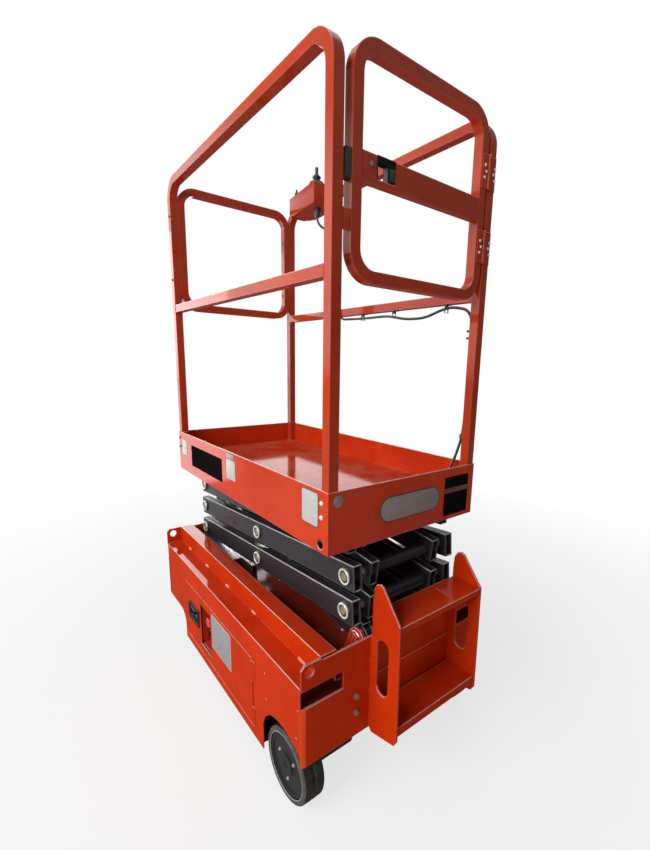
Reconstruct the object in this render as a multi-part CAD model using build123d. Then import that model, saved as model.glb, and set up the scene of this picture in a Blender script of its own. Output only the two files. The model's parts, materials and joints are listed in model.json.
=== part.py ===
from build123d import *
import math
import os

os.makedirs("parts", exist_ok=True)

# Mini scissor lift, folded. Millimetres, +Z up, ground at z = 0, platform centre on x = 0 before the
# final shift; +X is the entrance end with gate and step, -Y is the side with the ground controls.

# ---- driving dimensions: chassis -------------------------------------------------------------
CH_LEN = 1170.0          # over the end plates
CH_WID = 760.0           # over the side panels
SHEET = 3.0              # side box sheet
END_T = 6.0              # end plates
SKIRT_Z = 75.0           # lower edge of the side panels
LEDGE_Z = 434.0          # ledge along the outside
TOP_Z = 503.0            # top flange of the side box and top of the ears
LEDGE_W = 65.0           # ledge width
FLANGE_W = 53.0          # top flange width
DECK_Z = 405.0           # chassis deck between the side boxes
FLOOR_Z = 88.0           # equipment floor
END_DROP = 6.0           # end plate's top edge below the ears
END_LOW_IN = 14.0        # end plate below the hand slot is this much narrower on each side
REAR_IN = 20.0           # side panel's lower rear edge, in from the end
EAR_W, EAR_HOLE_R = 70.0, 15.0
EAR_HOLE_Y, EAR_HOLE_Z = 27.0, 25.0               # hole centre from the side and from the top
SLOT_Z0, SLOT_Z1, SLOT_IN = 372.0, 427.0, 240.0   # hand slot through the end plate, open sideways

# ---- wheels ------------------------------------------------------------------------------------
DW_R, DW_W, TYRE_T = 110.0, 70.0, 22.0   # drive wheel radius, width, tyre thickness
DW_OVER, DW_SET = 7.0, 8.0               # past the end plate, inside the side panel
CW_R, CW_W, CW_TYRE_T = 90.0, 46.0, 28.0 # caster wheel
CW_TRAIL, CW_OVER, CW_GAP = 40.0, 15.0, 7.0
AXLE_R = 10.0
ARCH_GAP, ARCH_HIGH = 10.0, 28.0         # arch before and above the drive wheel
CUT_GAP, CUT_HIGH, CUT_R = 106.0, 8.0, 60.0       # caster cut-out in the side panel

# ---- scissor -------------------------------------------------------------------------------------
PIN_END, ROLL_END = 39.0, 52.0           # fixed pivot and folded roller, in from the ends
FOLD, OPEN = 5.58, 49.5                  # arm angle to the roller line, folded and raised, degrees
LEAN = 0.73                              # roller line rises this much towards the rollers
PIV_UP = 77.5                            # fixed pivot above the deck
ARM_D, ARM_T, ARM_WALL = 76.0, 30.0, 4.0
OUT_Y = 210.0                            # outer face of the outer arms
ARM_GAP = 35.0                           # between outer and inner arms, where the rollers run
OVER, OVER_IN = 36.0, 31.0               # arm past its pin; inner arms at the entrance end
NOSE_GAP, FLARE = 6.5, 5.0               # rounded arm ends beside the end plate and the toe-board
BASE_NIP, TOP_NIP = 26.0, 16.0           # corner cut from the arm ends that carry the rollers
BOSS_R, BOSS_OUT = 24.0, 5.0
PIN_R, FIT, RUN = 12.5, 0.3, 0.8         # shaft, radial fit in the arm that holds it, in the arm that turns
XTUBE_R, XTUBE_WALL = 21.0, 4.0
STAGES = 3
ROLL_R, ROLL_W = 42.0, 24.0              # base rollers
PROLL_R, PROLL_W = 22.0, 22.0            # platform rollers
ROLL_GAP, ROLL_SIDE = 0.5, 3.0           # under a roller, beside a roller
GUS_T = 10.0

# ---- lift cylinder ---------------------------------------------------------------------------------
CYL_A = 110.0                            # barrel pin from the base pivot
CYL_BORE, CYL_WALL, ROD_R = 29.0, 6.0, 17.5
CYL_BAR_R, EYE_R, EYE_W = 15.0, 27.0, 40.0
LUG_T, LUG_GAP = 8.0, 6.0
LUG_BAR_W, LUG_BAR_GAP = 36.0, 5.5        # flat bar that carries a lug between two inner arms

# ---- platform -----------------------------------------------------------------------------------------
PL_WID = 600.0
FLOOR_UP, FLOOR_T = 67.25, 3.0           # floor above the top pivot, floor sheet
TOE_T, TOE_DOWN, TOE_UP = 3.0, 77.0, 94.0
RAIL_UP, MID_UP = 1132.0, 642.0          # top of the top rail and of the mid rail, above the floor
TUBE, TUBE_WALL = 30.0, 2.0
BEND_R, HOOP_R = 62.0, 73.0              # centre-line bends of the loops and of the side guards
PAD_T, PAD_OVER = 4.0, 3.0               # foot pads under the posts
PIN_HOLE_R, PIN_HOLE_UP = 13.5, 13.0     # access hole in the toe-board beside the platform pivot
LOOP_TOP, LOOP_H = 12.0, 496.0           # rear loop below the top rail, its height
CABLE_R, GROMMET_R, GROMMET_H = 4.5, 9.0, 6.0

# ---- gate and step ---------------------------------------------------------------------------------------
GATE_GAP, GATE_TOP, GATE_H = 8.0, 5.0, 520.0   # gap at the hinges, drop from the top rail, height
LATCH_GAP, STOP_GAP = 24.5, 6.0          # gate to the latch-side post, latch block to that post
GATE_PAN_DROP, GATE_PAN_H, GATE_PAN_T = 233.0, 63.0, 4.0
GRIP_Y0, GRIP_Y1 = -167.0, -107.0        # cut-out for the latch grip
HINGE_H, HINGE_DROPS = 46.0, (164.0, 368.0)
HINGE_R, HINGE_PIN = 5.0, 2.7
STEP_Y0, STEP_Y1 = -140.0, 227.0         # outer faces of the step's side plates
STEP_T, STEP_PROJ = 6.0, 120.0
STEP_BACK, TREAD_BACK = 5.0, 8.0         # side plates' upper part and treads, off the end plate
TREAD_Z, TREAD_LIP = (580.0, 262.0), (18.0, 28.0)

# ---- side doors and controls ----------------------------------------------------------------------------
DOOR_X0, DOOR_X1, DOOR_Z0, DOOR_Z1 = -345.0, 297.0, 109.0, 357.0
DOOR_GAP, HINGE_GAP, KNUCKLE_R = 3.0, 7.0, 3.5
WIN = (-173.0, -66.0, 145.0, 321.0)      # x0, x1, z0, z1 of the window to the ground controls
LATCH = (-306.0, -188.0, 204.0, 279.0)   # x0, x1, z0, z1 of the paddle latch
CB_X0, CB_X1, CB_Y0, CB_UP, CB_H = -354.0, -163.0, 150.0, 8.0, 92.0   # upper control box
CB_GAP = 5.0                             # box to the top rail
BAT_X, BAT_Y0, BAT_H = (-300.0, 30.0, 36.0, 320.0), 190.0, 220.0
BAT_SIDE = 15.0
PUMP = (260.0, 175.0, 35.0, 230.0)       # x1, inner y, in from the side, height
PAN_OUT, PAN_DEEP = 6.0, 60.0            # pan around the window and behind the door

HL, HW = CH_LEN / 2, CH_WID / 2
TH, LN = math.radians(FOLD), math.radians(LEAN)
CO, SI = math.cos(TH), math.sin(TH)
PIN_X, FAR_X = HL - PIN_END, -HL + ROLL_END
ARM_L = (PIN_X - FAR_X) / (CO * math.cos(LN))    # pin to pin
PITCH = ARM_L * SI
CYL_C = ARM_L / 4                       # rod pin from the far pivot, midway between two inner arms
Z0 = DECK_Z + PIV_UP
IN_Y = OUT_Y - ARM_T - ARM_GAP          # outer face of the inner arms
BORE_Y = IN_Y - ARM_T                   # inner face of the inner arms
END_TOP_Z, END_BOT_Z = TOP_Z - END_DROP, DW_R + 77.0
NOSE_R = PIN_END - END_T - NOSE_GAP
DW_X, DW_OUT = HL + DW_OVER - DW_R, HW - DW_SET
DW_RIM, CW_RIM = DW_R - TYRE_T, CW_R - CW_TYRE_T
SWING = math.hypot(CW_TRAIL + CW_R, CW_W / 2)
CW_X, CW_Y = -HL - CW_OVER + CW_TRAIL + CW_R, HW - SHEET - CW_GAP - SWING
ARCH_X0, ARCH_TOP = DW_X - DW_R - ARCH_GAP, 2 * DW_R + ARCH_HIGH
CUT_X, CUT_Z = CW_X + CUT_GAP, 2 * CW_R + CUT_HIGH
PL_LEN = CH_LEN                         # the platform stows over the chassis
TOP_PIN_Z = Z0 + STAGES * PITCH * math.cos(LN)
FLOOR_TOP = TOP_PIN_Z + FLOOR_UP
TOE_Z0, TOE_Z1 = FLOOR_TOP - TOE_DOWN, FLOOR_TOP + TOE_UP
RAIL_Z, MID_Z = FLOOR_TOP + RAIL_UP, FLOOR_TOP + MID_UP
GATE_Z1 = RAIL_Z - GATE_TOP
GATE_Z0 = GATE_Z1 - GATE_H
GATE_PAN_Z1 = GATE_Z1 - GATE_PAN_DROP
GATE_PAN_Z0 = GATE_PAN_Z1 - GATE_PAN_H
LOOP_Z1 = RAIL_Z - LOOP_TOP
LOOP_Z0 = LOOP_Z1 - LOOP_H
CYL_R = CYL_BORE + CYL_WALL
PX, PY = PL_LEN / 2, PL_WID / 2
POST_X, POST_Y = PX - TOE_T - TUBE / 2, PY - TOE_T - TUBE / 2
POST_IN = POST_Y - TUBE / 2             # inner face of the posts
CB_Y1 = POST_IN - CB_GAP
CB_Z1 = RAIL_Z - CB_UP
CB_Z0 = CB_Z1 - CB_H
GATE_PIN_X, GATE_PIN_Y = PX + 0.5, POST_IN - GATE_GAP / 2
GATE_Y0, GATE_Y1 = -POST_IN + LATCH_GAP, POST_IN - GATE_GAP
DOOR_PIN_X, DOOR_PIN_Y = DOOR_X1 - HINGE_GAP / 2, -HW - 1.0
X_MAX = HL + STEP_PROJ
X_MIN = -HL - CW_OVER
SHIFT = -(X_MAX + X_MIN) / 2            # brings the box's middle to x = 0


def stack(u, w):
    """Point u along the roller line from the fixed pivot and w above it, as (x, z)."""
    c, s = math.cos(LN), math.sin(LN)
    return PIN_X - u * c + w * s, Z0 + u * s + w * c


def box(x0, x1, y0, y1, z0, z1):
    return Pos((x0 + x1) / 2, (y0 + y1) / 2, (z0 + z1) / 2) * Box(x1 - x0, y1 - y0, z1 - z0)


def cyl_y(x, z, r, y0, y1):
    return Pos(x, (y0 + y1) / 2, z) * Rot(90, 0, 0) * Cylinder(r, y1 - y0)


def cyl_z(x, y, r, z0, z1):
    return Pos(x, y, (z0 + z1) / 2) * Cylinder(r, z1 - z0)


def cyl_x(y, z, r, x0, x1):
    return Pos((x0 + x1) / 2, y, z) * Rot(0, 90, 0) * Cylinder(r, x1 - x0)


def plate_xz(pts, y0, y1):
    """Plate in the XZ plane from a list of (x, z) corners, between y0 and y1."""
    f = Plane.XZ * make_face(Polyline(*pts, close=True))
    return Pos(0, y1, 0) * extrude(f, y1 - y0)


def plate_yz(pts, x0, x1):
    f = Plane.YZ * make_face(Polyline(*pts, close=True))
    return Pos(x0, 0, 0) * extrude(f, x1 - x0)


def mirror_y(shape):
    return mirror(shape, about=Plane.XZ)


def save(name, *shapes):
    solids = []
    for s in shapes:
        solids += list(s.solids())
    solids = [Pos(SHIFT, 0, 0) * s for s in solids]
    export_step(solids[0] if len(solids) == 1 else Compound(solids), f"parts/{name}.step")


# ================================================================================================
# Chassis
# ================================================================================================
def strip_profile(path, t):
    """Closed outline of a bent sheet that follows (y, z) corner points, t thick to the right."""
    inner = []
    n = len(path)
    for i in range(n):
        p = path[i]
        d0 = (p[0] - path[i - 1][0], p[1] - path[i - 1][1]) if i else None
        d1 = (path[i + 1][0] - p[0], path[i + 1][1] - p[1]) if i < n - 1 else None
        ns = []
        for d in (d0, d1):
            if d:
                m = math.hypot(*d)
                ns.append((d[1] / m, -d[0] / m))
        nx, nz = sum(a[0] for a in ns), sum(a[1] for a in ns)
        k = t / (nx * ns[0][0] + nz * ns[0][1])
        inner.append((p[0] + nx * k, p[1] + nz * k))
    return path + inner[::-1]


inner_x = HL - END_T
web_y = HW - LEDGE_W
flange_y = web_y - FLANGE_W
side_path = [(-HW, SKIRT_Z), (-HW, LEDGE_Z), (-web_y, LEDGE_Z), (-web_y, TOP_Z),
             (-flange_y, TOP_Z), (-flange_y, DECK_Z)]
side = plate_yz(strip_profile(side_path, SHEET), -inner_x, inner_x)

# wheel arch: upright front edge, round crown, falling to the end plate's lower corner
low = SKIRT_Z - 5
arch_side, arch_mid = (ARCH_X0, ARCH_TOP - 83), (ARCH_X0 + 78, ARCH_TOP - 3)
arch_end = (HL + 5, END_BOT_Z + 24)
arch_cut = Polyline((ARCH_X0, low), arch_side) \
    + ThreePointArc(arch_side, (ARCH_X0 + 25, ARCH_TOP - 33), arch_mid) \
    + ThreePointArc(arch_mid, (ARCH_X0 + 158, ARCH_TOP - 3), arch_end) \
    + Polyline(arch_end, (HL + 5, low), (ARCH_X0, low))
panel_cut = LEDGE_W + 10
arch_tool = Pos(0, -web_y, 0) * extrude(Plane.XZ * make_face(arch_cut), panel_cut)
# caster cut-out, rounded at its upper front corner
back = -HL - 10
rear_cut = Polyline((CUT_X, low), (back, low), (back, CUT_Z), (CUT_X - CUT_R, CUT_Z)) \
    + ThreePointArc((CUT_X - CUT_R, CUT_Z), (CUT_X - CUT_R * 0.293, CUT_Z - CUT_R * 0.293), (CUT_X, CUT_Z - CUT_R)) \
    + Line((CUT_X, CUT_Z - CUT_R), (CUT_X, low))
rear_tool = Pos(0, -web_y, 0) * extrude(Plane.XZ * make_face(rear_cut), panel_cut)
rear_tool += box(back, -HL + REAR_IN, -HW - 5, -web_y, low, SLOT_Z0 + 4)
door_tool = box(DOOR_X0, DOOR_X1, -HW - 5, -HW + 20, DOOR_Z0, DOOR_Z1)
side = side - arch_tool - rear_tool - door_tool
# return flanges behind the end plates
side += box(inner_x - SHEET, inner_x, -HW, -HW + 40, END_BOT_Z + 34, SLOT_Z0 - 2)
side += box(-HL + REAR_IN, -HL + REAR_IN + SHEET, -HW, -HW + 40, CUT_Z, SLOT_Z0 - 2)
save("side_box_left", side)
save("side_box_right", mirror_y(side))

# end plates with raised ears and hand slots, narrower below the slots
ear_pts = [(-HW + END_LOW_IN, END_BOT_Z + 4), (-HW + END_LOW_IN, SLOT_Z0), (-HW, SLOT_Z0),
           (-HW, TOP_Z - 12), (-HW + 12, TOP_Z), (-HW + EAR_W - 6, TOP_Z),
           (-HW + EAR_W, END_TOP_Z), (HW - EAR_W, END_TOP_Z), (HW - EAR_W + 6, TOP_Z),
           (HW - 12, TOP_Z), (HW, TOP_Z - 12), (HW, SLOT_Z0), (HW - END_LOW_IN, SLOT_Z0),
           (HW - END_LOW_IN, END_BOT_Z + 4), (HW - END_LOW_IN - 4, END_BOT_Z),
           (-HW + END_LOW_IN + 4, END_BOT_Z)]
end = plate_yz(ear_pts, 0, END_T)
for s in (-1, 1):
    end -= cyl_x(s * (HW - EAR_HOLE_Y), TOP_Z - EAR_HOLE_Z, EAR_HOLE_R, -1, END_T + 1)
    y_in, y_out = sorted((s * SLOT_IN, s * (HW + 1)))
    end -= box(-1, END_T + 1, y_in, y_out, SLOT_Z0, SLOT_Z1)
end_x = Pos(inner_x, 0, 0) * end
save("end_plate_front", end_x)
save("end_plate_rear", mirror(end_x, about=Plane.YZ))

deck = box(-inner_x, inner_x, -flange_y + SHEET, flange_y - SHEET, DECK_Z - SHEET, DECK_Z)
save("chassis_deck", deck)
fl_x0, fl_x1 = CW_X + SWING + 6, ARCH_X0 - 10
floor = box(fl_x0, fl_x1, -HW + SHEET, HW - SHEET, FLOOR_Z - SHEET, FLOOR_Z)
for x0, x1 in ((fl_x0, fl_x0 + SHEET), (fl_x1 - SHEET, fl_x1)):
    floor += box(x0, x1, -flange_y, flange_y, FLOOR_Z, DECK_Z - SHEET)
save("equipment_tray", floor)

# base pivot gussets between the arms, and the lowest shaft
gus_y0 = IN_Y + (ARM_GAP - GUS_T) / 2 - 5
gus_y1 = gus_y0 + GUS_T
gus = plate_xz([(PIN_X - 62, DECK_Z), (PIN_X + 30, DECK_Z), (PIN_X + 30, Z0 + 8), (PIN_X + 14, Z0 + 26),
                (PIN_X - 14, Z0 + 26), (PIN_X - 30, Z0 + 10)], -gus_y1, -gus_y0)
gus -= cyl_y(PIN_X, Z0, PIN_R + FIT, -gus_y1 - 1, -gus_y0 + 1)
save("base_pivot", gus, mirror_y(gus), cyl_y(PIN_X, Z0, PIN_R, -gus_y1 - 8, gus_y1 + 8))

# tracks of the base rollers, along the roller line: a wide part that shows and a narrower one under the arms
roll_y1 = OUT_Y - ARM_T - ROLL_SIDE
roll_y0 = roll_y1 - ROLL_W
u_far, u_open = ARM_L * CO, ARM_L * math.cos(math.radians(OPEN))
u_wide = u_far - 320
TRACK_T = 6.0
track_w = -ROLL_R - ROLL_GAP - TRACK_T / 2
plates = []
for u0, u1, y0, y1 in ((u_wide, u_far + 34, roll_y0 - 8, OUT_Y + 8), (u_open - 40, u_wide, roll_y0 - 8, roll_y1 + 2)):
    cx, cz = stack((u0 + u1) / 2, track_w)
    plates.append(Pos(cx, -(y0 + y1) / 2, cz) * Rot(0, LEAN, 0) * Box(u1 - u0, y1 - y0, TRACK_T))
foot_x0, foot_x1 = stack(u_far + 30, 0)[0], stack(u_open - 36, 0)[0]
web = box(foot_x0, foot_x1, -roll_y1, -roll_y1 + 6, DECK_Z, stack(u_open, track_w)[1])
web += box(foot_x0, foot_x1, -roll_y0 - 6, -roll_y0, DECK_Z, stack(u_open, track_w)[1])
trk = plates[0] + plates[1] + web
save("base_roller_tracks", trk, mirror_y(trk))

# boarding step
sx0, sx1 = HL, HL + STEP_PROJ
low_z, top_z = END_BOT_Z - 7, TREAD_Z[0] + 84
prof = [(sx0, low_z + 16), (sx0 + 14, low_z), (sx1 - 10, low_z + 26), (sx1, low_z + 44), (sx1, low_z + 82),
        (sx1 - 4, TREAD_Z[0] + 2), (sx0 + 54, top_z - 6), (sx0 + 45, top_z + 6), (sx0 + 32, top_z + 10),
        (sx0 + 18, top_z + 4), (sx0 + STEP_BACK + 3, top_z - 14), (sx0 + STEP_BACK, top_z - 50),
        (sx0 + STEP_BACK, END_TOP_Z + 4), (sx0, END_TOP_Z - 4)]
plate = plate_xz(prof, STEP_Y0, STEP_Y0 + STEP_T)
slot_z = (TREAD_Z[0] + TREAD_Z[1]) / 2
slot = Pos(0, STEP_Y0 + STEP_T + 1, 0) * extrude(
    Plane.XZ * Pos(sx0 + 53, slot_z) * Rot(0, 0, 90) * SlotOverall(176, 48), STEP_T + 2)
plate -= slot
save("step_side_plates", plate, Pos(0, STEP_Y1 - STEP_Y0 - STEP_T, 0) * plate)
ty0, ty1 = STEP_Y0 + STEP_T, STEP_Y1 - STEP_T
treads = []
for z, lip in zip(TREAD_Z, TREAD_LIP):
    tread = box(sx0 + TREAD_BACK, sx1 - 5, ty0, ty1, z - 4, z) + box(sx1 - 9, sx1 - 5, ty0, ty1, z - lip, z)
    tread += box(sx0 + TREAD_BACK, sx0 + TREAD_BACK + 4, ty0, ty1, z - 18, z)
    treads.append(tread)
save("step_treads", *treads)

# heavy masses inside the boxes
bat_y1 = HW - SHEET - BAT_SIDE
save("battery_pack", box(BAT_X[0], BAT_X[1], BAT_Y0, bat_y1, FLOOR_Z, FLOOR_Z + BAT_H),
     box(BAT_X[2], BAT_X[3], BAT_Y0, bat_y1, FLOOR_Z, FLOOR_Z + BAT_H))
save("power_unit", box(WIN[1] + PAN_OUT, PUMP[0], -HW + PUMP[2], -PUMP[1], FLOOR_Z, FLOOR_Z + PUMP[3]))

# side doors: hinge barrel at the +X edge, window recess on the left door only
hx, hy = DOOR_PIN_X, DOOR_PIN_Y
door = box(DOOR_X0 + DOOR_GAP, DOOR_X1 - HINGE_GAP, -HW, -HW + SHEET, DOOR_Z0 + DOOR_GAP, DOOR_Z1 - DOOR_GAP)
hz = [DOOR_Z0 + 6, DOOR_Z0 + 76, DOOR_Z0 + 78, DOOR_Z1 - 78, DOOR_Z1 - 76, DOOR_Z1 - 6]
barrel = cyl_z(hx, hy, KNUCKLE_R, hz[2], hz[3])
leaf = box(DOOR_X1 - HINGE_GAP - 2, hx, -HW - 1, -HW + 1, hz[2] + 1, hz[3] - 1)
knuckles = []
for z0, z1 in ((hz[0], hz[1]), (hz[4], hz[5])):
    k = cyl_z(hx, hy, KNUCKLE_R, z0, z1) + box(hx, DOOR_X1 + 14, -HW - 1.5, -HW, z0, z1)
    knuckles.append(k)
door = door + barrel + leaf
door_l = door - box(WIN[0], WIN[1], -HW - 5, -HW + 8, WIN[2], WIN[3])
latch = box(LATCH[0], LATCH[1], -HW - 4, -HW, LATCH[2], LATCH[3])
latch_hole = box(LATCH[0] + 8, LATCH[1] - 8, -HW - 5, -HW + 8, LATCH[2] + 8, LATCH[3] - 8)
door_l -= latch_hole
latch = latch + box(LATCH[0] + 9, LATCH[1] - 9, -HW, -HW + 8, LATCH[2] + 9, LATCH[3] - 9)
latch -= box(LATCH[0] + 12, LATCH[1] - 12, -HW - 5, -HW + 5, LATCH[2] + 12, LATCH[3] - 12)
latch += box(LATCH[0] + 20, LATCH[1] - 46, -HW - 1, -HW + 6, LATCH[2] + 20, LATCH[3] - 20)
door_r = mirror_y(door - latch_hole)
save("side_door_left", door_l)
save("side_door_right", door_r)
save("door_latch_left", latch)
save("door_latch_right", mirror_y(latch))
save("door_hinge_knuckles", *knuckles, *[mirror_y(k) for k in knuckles])
# recessed ground control pan behind the door window, carried by the chassis tray
pan_y = -HW + SHEET + PAN_DEEP
gp = box(WIN[0] - PAN_OUT, WIN[1] + PAN_OUT, -HW + SHEET + 6, pan_y, WIN[2] - PAN_OUT, WIN[3] + PAN_OUT)
gp -= box(WIN[0] - 3, WIN[1] + 3, -HW, pan_y - 3, WIN[2] - 3, WIN[3] + 3)
gp += box(WIN[0] + 20, WIN[1] - 20, pan_y - 20, pan_y, FLOOR_Z, WIN[2] - 3)
save("ground_control_pan", gp)
gy = pan_y - 3
estop = cyl_y(WIN[0] + 62, WIN[3] - 56, 8, gy - 14, gy) + cyl_y(WIN[0] + 62, WIN[3] - 56, 19, gy - 28, gy - 14)
key = cyl_y(WIN[0] + 64, WIN[3] - 112, 11, gy - 10, gy) + box(WIN[0] + 62, WIN[0] + 66, gy - 28, gy - 10,
                                                              WIN[3] - 122, WIN[3] - 102)
save("ground_controls", estop, key)

# ================================================================================================
# Wheels
# ================================================================================================
for side_name, s in (("left", -1), ("right", 1)):
    y_out, y_in = s * DW_OUT, s * (DW_OUT - DW_W)
    ya, yb = min(y_out, y_in), max(y_out, y_in)
    tyre = cyl_y(DW_X, DW_R, DW_R, ya, yb) - cyl_y(DW_X, DW_R, DW_RIM, ya - 1, yb + 1)
    tyre = chamfer(tyre.edges().filter_by(GeomType.CIRCLE).filter_by(lambda e: e.radius > DW_R - 1), 7)
    save(f"drive_tyre_{side_name}", tyre)
    hub = cyl_y(DW_X, DW_R, DW_RIM, ya + 4, yb - 4)
    d0, d1 = sorted((y_out, y_out - s * 18))
    hub -= cyl_y(DW_X, DW_R, DW_RIM - 9, d0, d1) - cyl_y(DW_X, DW_R, 30, d0, d1)
    hub -= cyl_y(DW_X, DW_R, AXLE_R + FIT, ya - 1, yb + 1)
    save(f"drive_hub_{side_name}", hub)
mot_y = DW_OUT - DW_W - 22
mot = cyl_y(DW_X, DW_R, 42, -mot_y, -150) + cyl_y(DW_X, DW_R, AXLE_R, -DW_OUT + 6, -200)
mot += box(DW_X - 40, DW_X + 40, -flange_y + SHEET + 3, -flange_y + SHEET + 11, DW_R, DECK_Z - SHEET)
save("drive_motors", mot, mirror_y(mot))

crown_z = 2 * CW_R + 7
for side_name, s in (("left", -1), ("right", 1)):
    cy, wx = s * CW_Y, CW_X - CW_TRAIL
    tyre = cyl_y(wx, CW_R, CW_R, cy - CW_W / 2, cy + CW_W / 2)
    tyre -= cyl_y(wx, CW_R, CW_RIM, cy - CW_W / 2 - 1, cy + CW_W / 2 + 1)
    tyre = chamfer(tyre.edges().filter_by(GeomType.CIRCLE).filter_by(lambda e: e.radius > CW_R - 1), 5)
    core = cyl_y(wx, CW_R, CW_RIM + 1, cy - CW_W / 2 + 3, cy + CW_W / 2 - 3)
    core += cyl_y(wx, CW_R, 20, cy - CW_W / 2 - 3, cy + CW_W / 2 + 3)
    core = tyre + core - cyl_y(wx, CW_R, 8 + FIT, cy - CW_W, cy + CW_W)
    save(f"caster_wheel_{side_name}", core)
    leg_y = CW_W / 2 + 6
    leg = plate_xz([(wx - 14, CW_R - 10), (wx + 14, CW_R - 10), (CW_X + 34, crown_z), (CW_X - 40, crown_z),
                    (wx - 16, CW_R + 16)], cy + leg_y, cy + leg_y + 5)
    fork = leg + Pos(0, -2 * leg_y - 5, 0) * leg
    fork += box(CW_X - 40, CW_X + 34, cy - leg_y - 5, cy + leg_y + 5, crown_z, crown_z + 6)
    fork += cyl_z(CW_X, cy, 32, crown_z + 6, crown_z + 22)
    fork += cyl_y(wx, CW_R, 8, cy - leg_y - 12, cy + leg_y + 12)
    save(f"caster_fork_{side_name}", fork)
mz, mount_y = crown_z + 22.5, min(CW_Y + 50, flange_y)
mount = box(CW_X - 55, CW_X + 55, -CW_Y - 50, -CW_Y + 50, mz, mz + 8)
for dx in (-45, 39):
    mount += box(CW_X + dx, CW_X + dx + 6, -mount_y + SHEET, -CW_Y + 40, mz + 8, DECK_Z - SHEET)
save("caster_mounts", mount, mirror_y(mount))


# ================================================================================================
# Scissor stack
# ================================================================================================
def arm(y0, y1, bores, slope, centre, over, nip=0, nose=0):
    """Rectangular tube arm centred on its middle pin, over past its +X pin. nip is cut from the lower (-)
    or upper (+) corner of its -X end; nose rounds the lower (-1) or upper (+1) half of its +X end."""
    h, d, w = ARM_L / 2, ARM_D / 2, ARM_WALL
    body = box(-h - OVER, h + over, y0, y1, -d, d)
    body -= box(-h - OVER - 1, h + over + 1, y0 + w, y1 - w, -d + w, d - w)
    out = y1 if y1 > 0 else y0
    for px, r in bores:
        body += cyl_y(px, 0, BOSS_R, y0, y1)
        if abs(out) == OUT_Y:
            g0, g1 = sorted((out, out + math.copysign(BOSS_OUT, out)))
            body += cyl_y(px, 0, BOSS_R, g0, g1)
        body -= cyl_y(px, 0, r, y0 - 9, y1 + 9)
    if nip:
        x, up, n = -h - OVER, math.copysign(1, nip), abs(nip)
        body -= plate_xz([(x - 1, up * (d + 1)), (x - 1, up * (d - n)), (x, up * (d - n)), (x + n, up * d),
                          (x + n, up * (d + 1))], y0 - 1, y1 + 1)
    if nose:
        z0, z1 = sorted((0, nose * (d + 1)))
        body -= box(h + NOSE_R, h + over + 1, y0 - 9, y1 + 9, -d - 1, d + 1)
        body -= box(h + FLARE, h + over + 1, y0 - 1, y1 + 1, z0, z1) - cyl_y(h, 0, NOSE_R, y0 - 2, y1 + 2)
    return Pos(centre[0], 0, centre[1]) * Rot(0, slope, 0) * body


reach = ARM_L * CO
h = ARM_L / 2
fit, run = PIN_R + FIT, PIN_R + RUN
lug_y = EYE_W / 2 + LUG_GAP
for k in range(1, STAGES + 1):
    mid = stack(reach / 2, (k - 0.5) * PITCH)
    near0, near1 = stack(0, (k - 1) * PITCH), stack(0, k * PITCH)
    far0, far1 = stack(reach, (k - 1) * PITCH), stack(reach, k * PITCH)
    # inner arms rise towards -X and turn on the shafts; outer arms rise towards +X and hold them
    ib = [(-h, run if k < STAGES else fit), (0, run), (h, run)]
    inner = arm(-IN_Y, -BORE_Y, ib, FOLD + LEAN, mid, OVER_IN, TOP_NIP if k == STAGES else 0, 1 if k == 1 else 0)
    save(f"inner_arms_{k}", inner, mirror_y(inner))
    ob = [(-h, fit), (0, fit), (h, fit)]
    outer = arm(-OUT_Y, -OUT_Y + ARM_T, ob, LEAN - FOLD, mid, OVER, -BASE_NIP if k == 1 else 0,
                -1 if k == STAGES else 0)
    save(f"outer_arms_{k}", outer, mirror_y(outer))
    xt = []
    for x, z in (near0, far1):
        xt.append(cyl_y(x, z, XTUBE_R, -BORE_Y, BORE_Y)
                  - cyl_y(x, z, XTUBE_R - XTUBE_WALL, -BORE_Y - 1, BORE_Y + 1))
    if k == 1:
        xt.append(cyl_y(*stack(CYL_A * CO, CYL_A * SI), CYL_BAR_R, -BORE_Y, BORE_Y))
    save(f"inner_cross_tubes_{k}", *xt)
    # shafts carried by the outer arms: the far lower one, the near upper one and the middle stubs
    y_end = OUT_Y + BOSS_OUT
    sh = [cyl_y(*far0, PIN_R, -y_end, y_end), cyl_y(*near1, PIN_R, -y_end, y_end)]
    stub = cyl_y(*mid, PIN_R, -y_end, -BORE_Y + 4)
    if k == 2:
        qx, qz = stack(reach - CYL_C * CO, PITCH + CYL_C * SI)
        lug = cyl_y(qx, qz, EYE_R, lug_y, lug_y + LUG_T)
        bar_h = PITCH * math.cos(TH) - ARM_D - 2 * LUG_BAR_GAP
        bar_y = (lug_y + LUG_T - 1, OUT_Y - ARM_T)
        lug += Pos(qx, sum(bar_y) / 2, qz) * Rot(0, FOLD + LEAN, 0) * Box(LUG_BAR_W, bar_y[1] - bar_y[0], bar_h)
        sh += [lug, mirror_y(lug)]
    save(f"outer_pins_{k}", *sh, stub, mirror_y(stub))

# base rollers on the lowest far shaft, platform rollers with their own shaft, both between the arms
far_low, far_top = stack(reach, 0), stack(reach, STAGES * PITCH)
roller = cyl_y(*far_low, ROLL_R, -roll_y1, -roll_y0) - cyl_y(*far_low, PIN_R + FIT, -roll_y1 - 1, -roll_y0 + 1)
save("base_rollers", roller, mirror_y(roller))
pr0 = IN_Y + 6
proll = cyl_y(*far_top, PROLL_R, -pr0 - PROLL_W, -pr0) - cyl_y(*far_top, PIN_R + FIT, -pr0 - 99, -pr0 + 9)
save("platform_rollers", proll, mirror_y(proll),
     cyl_y(*far_top, PIN_R, -pr0 - PROLL_W - 2, pr0 + PROLL_W + 2))

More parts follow.
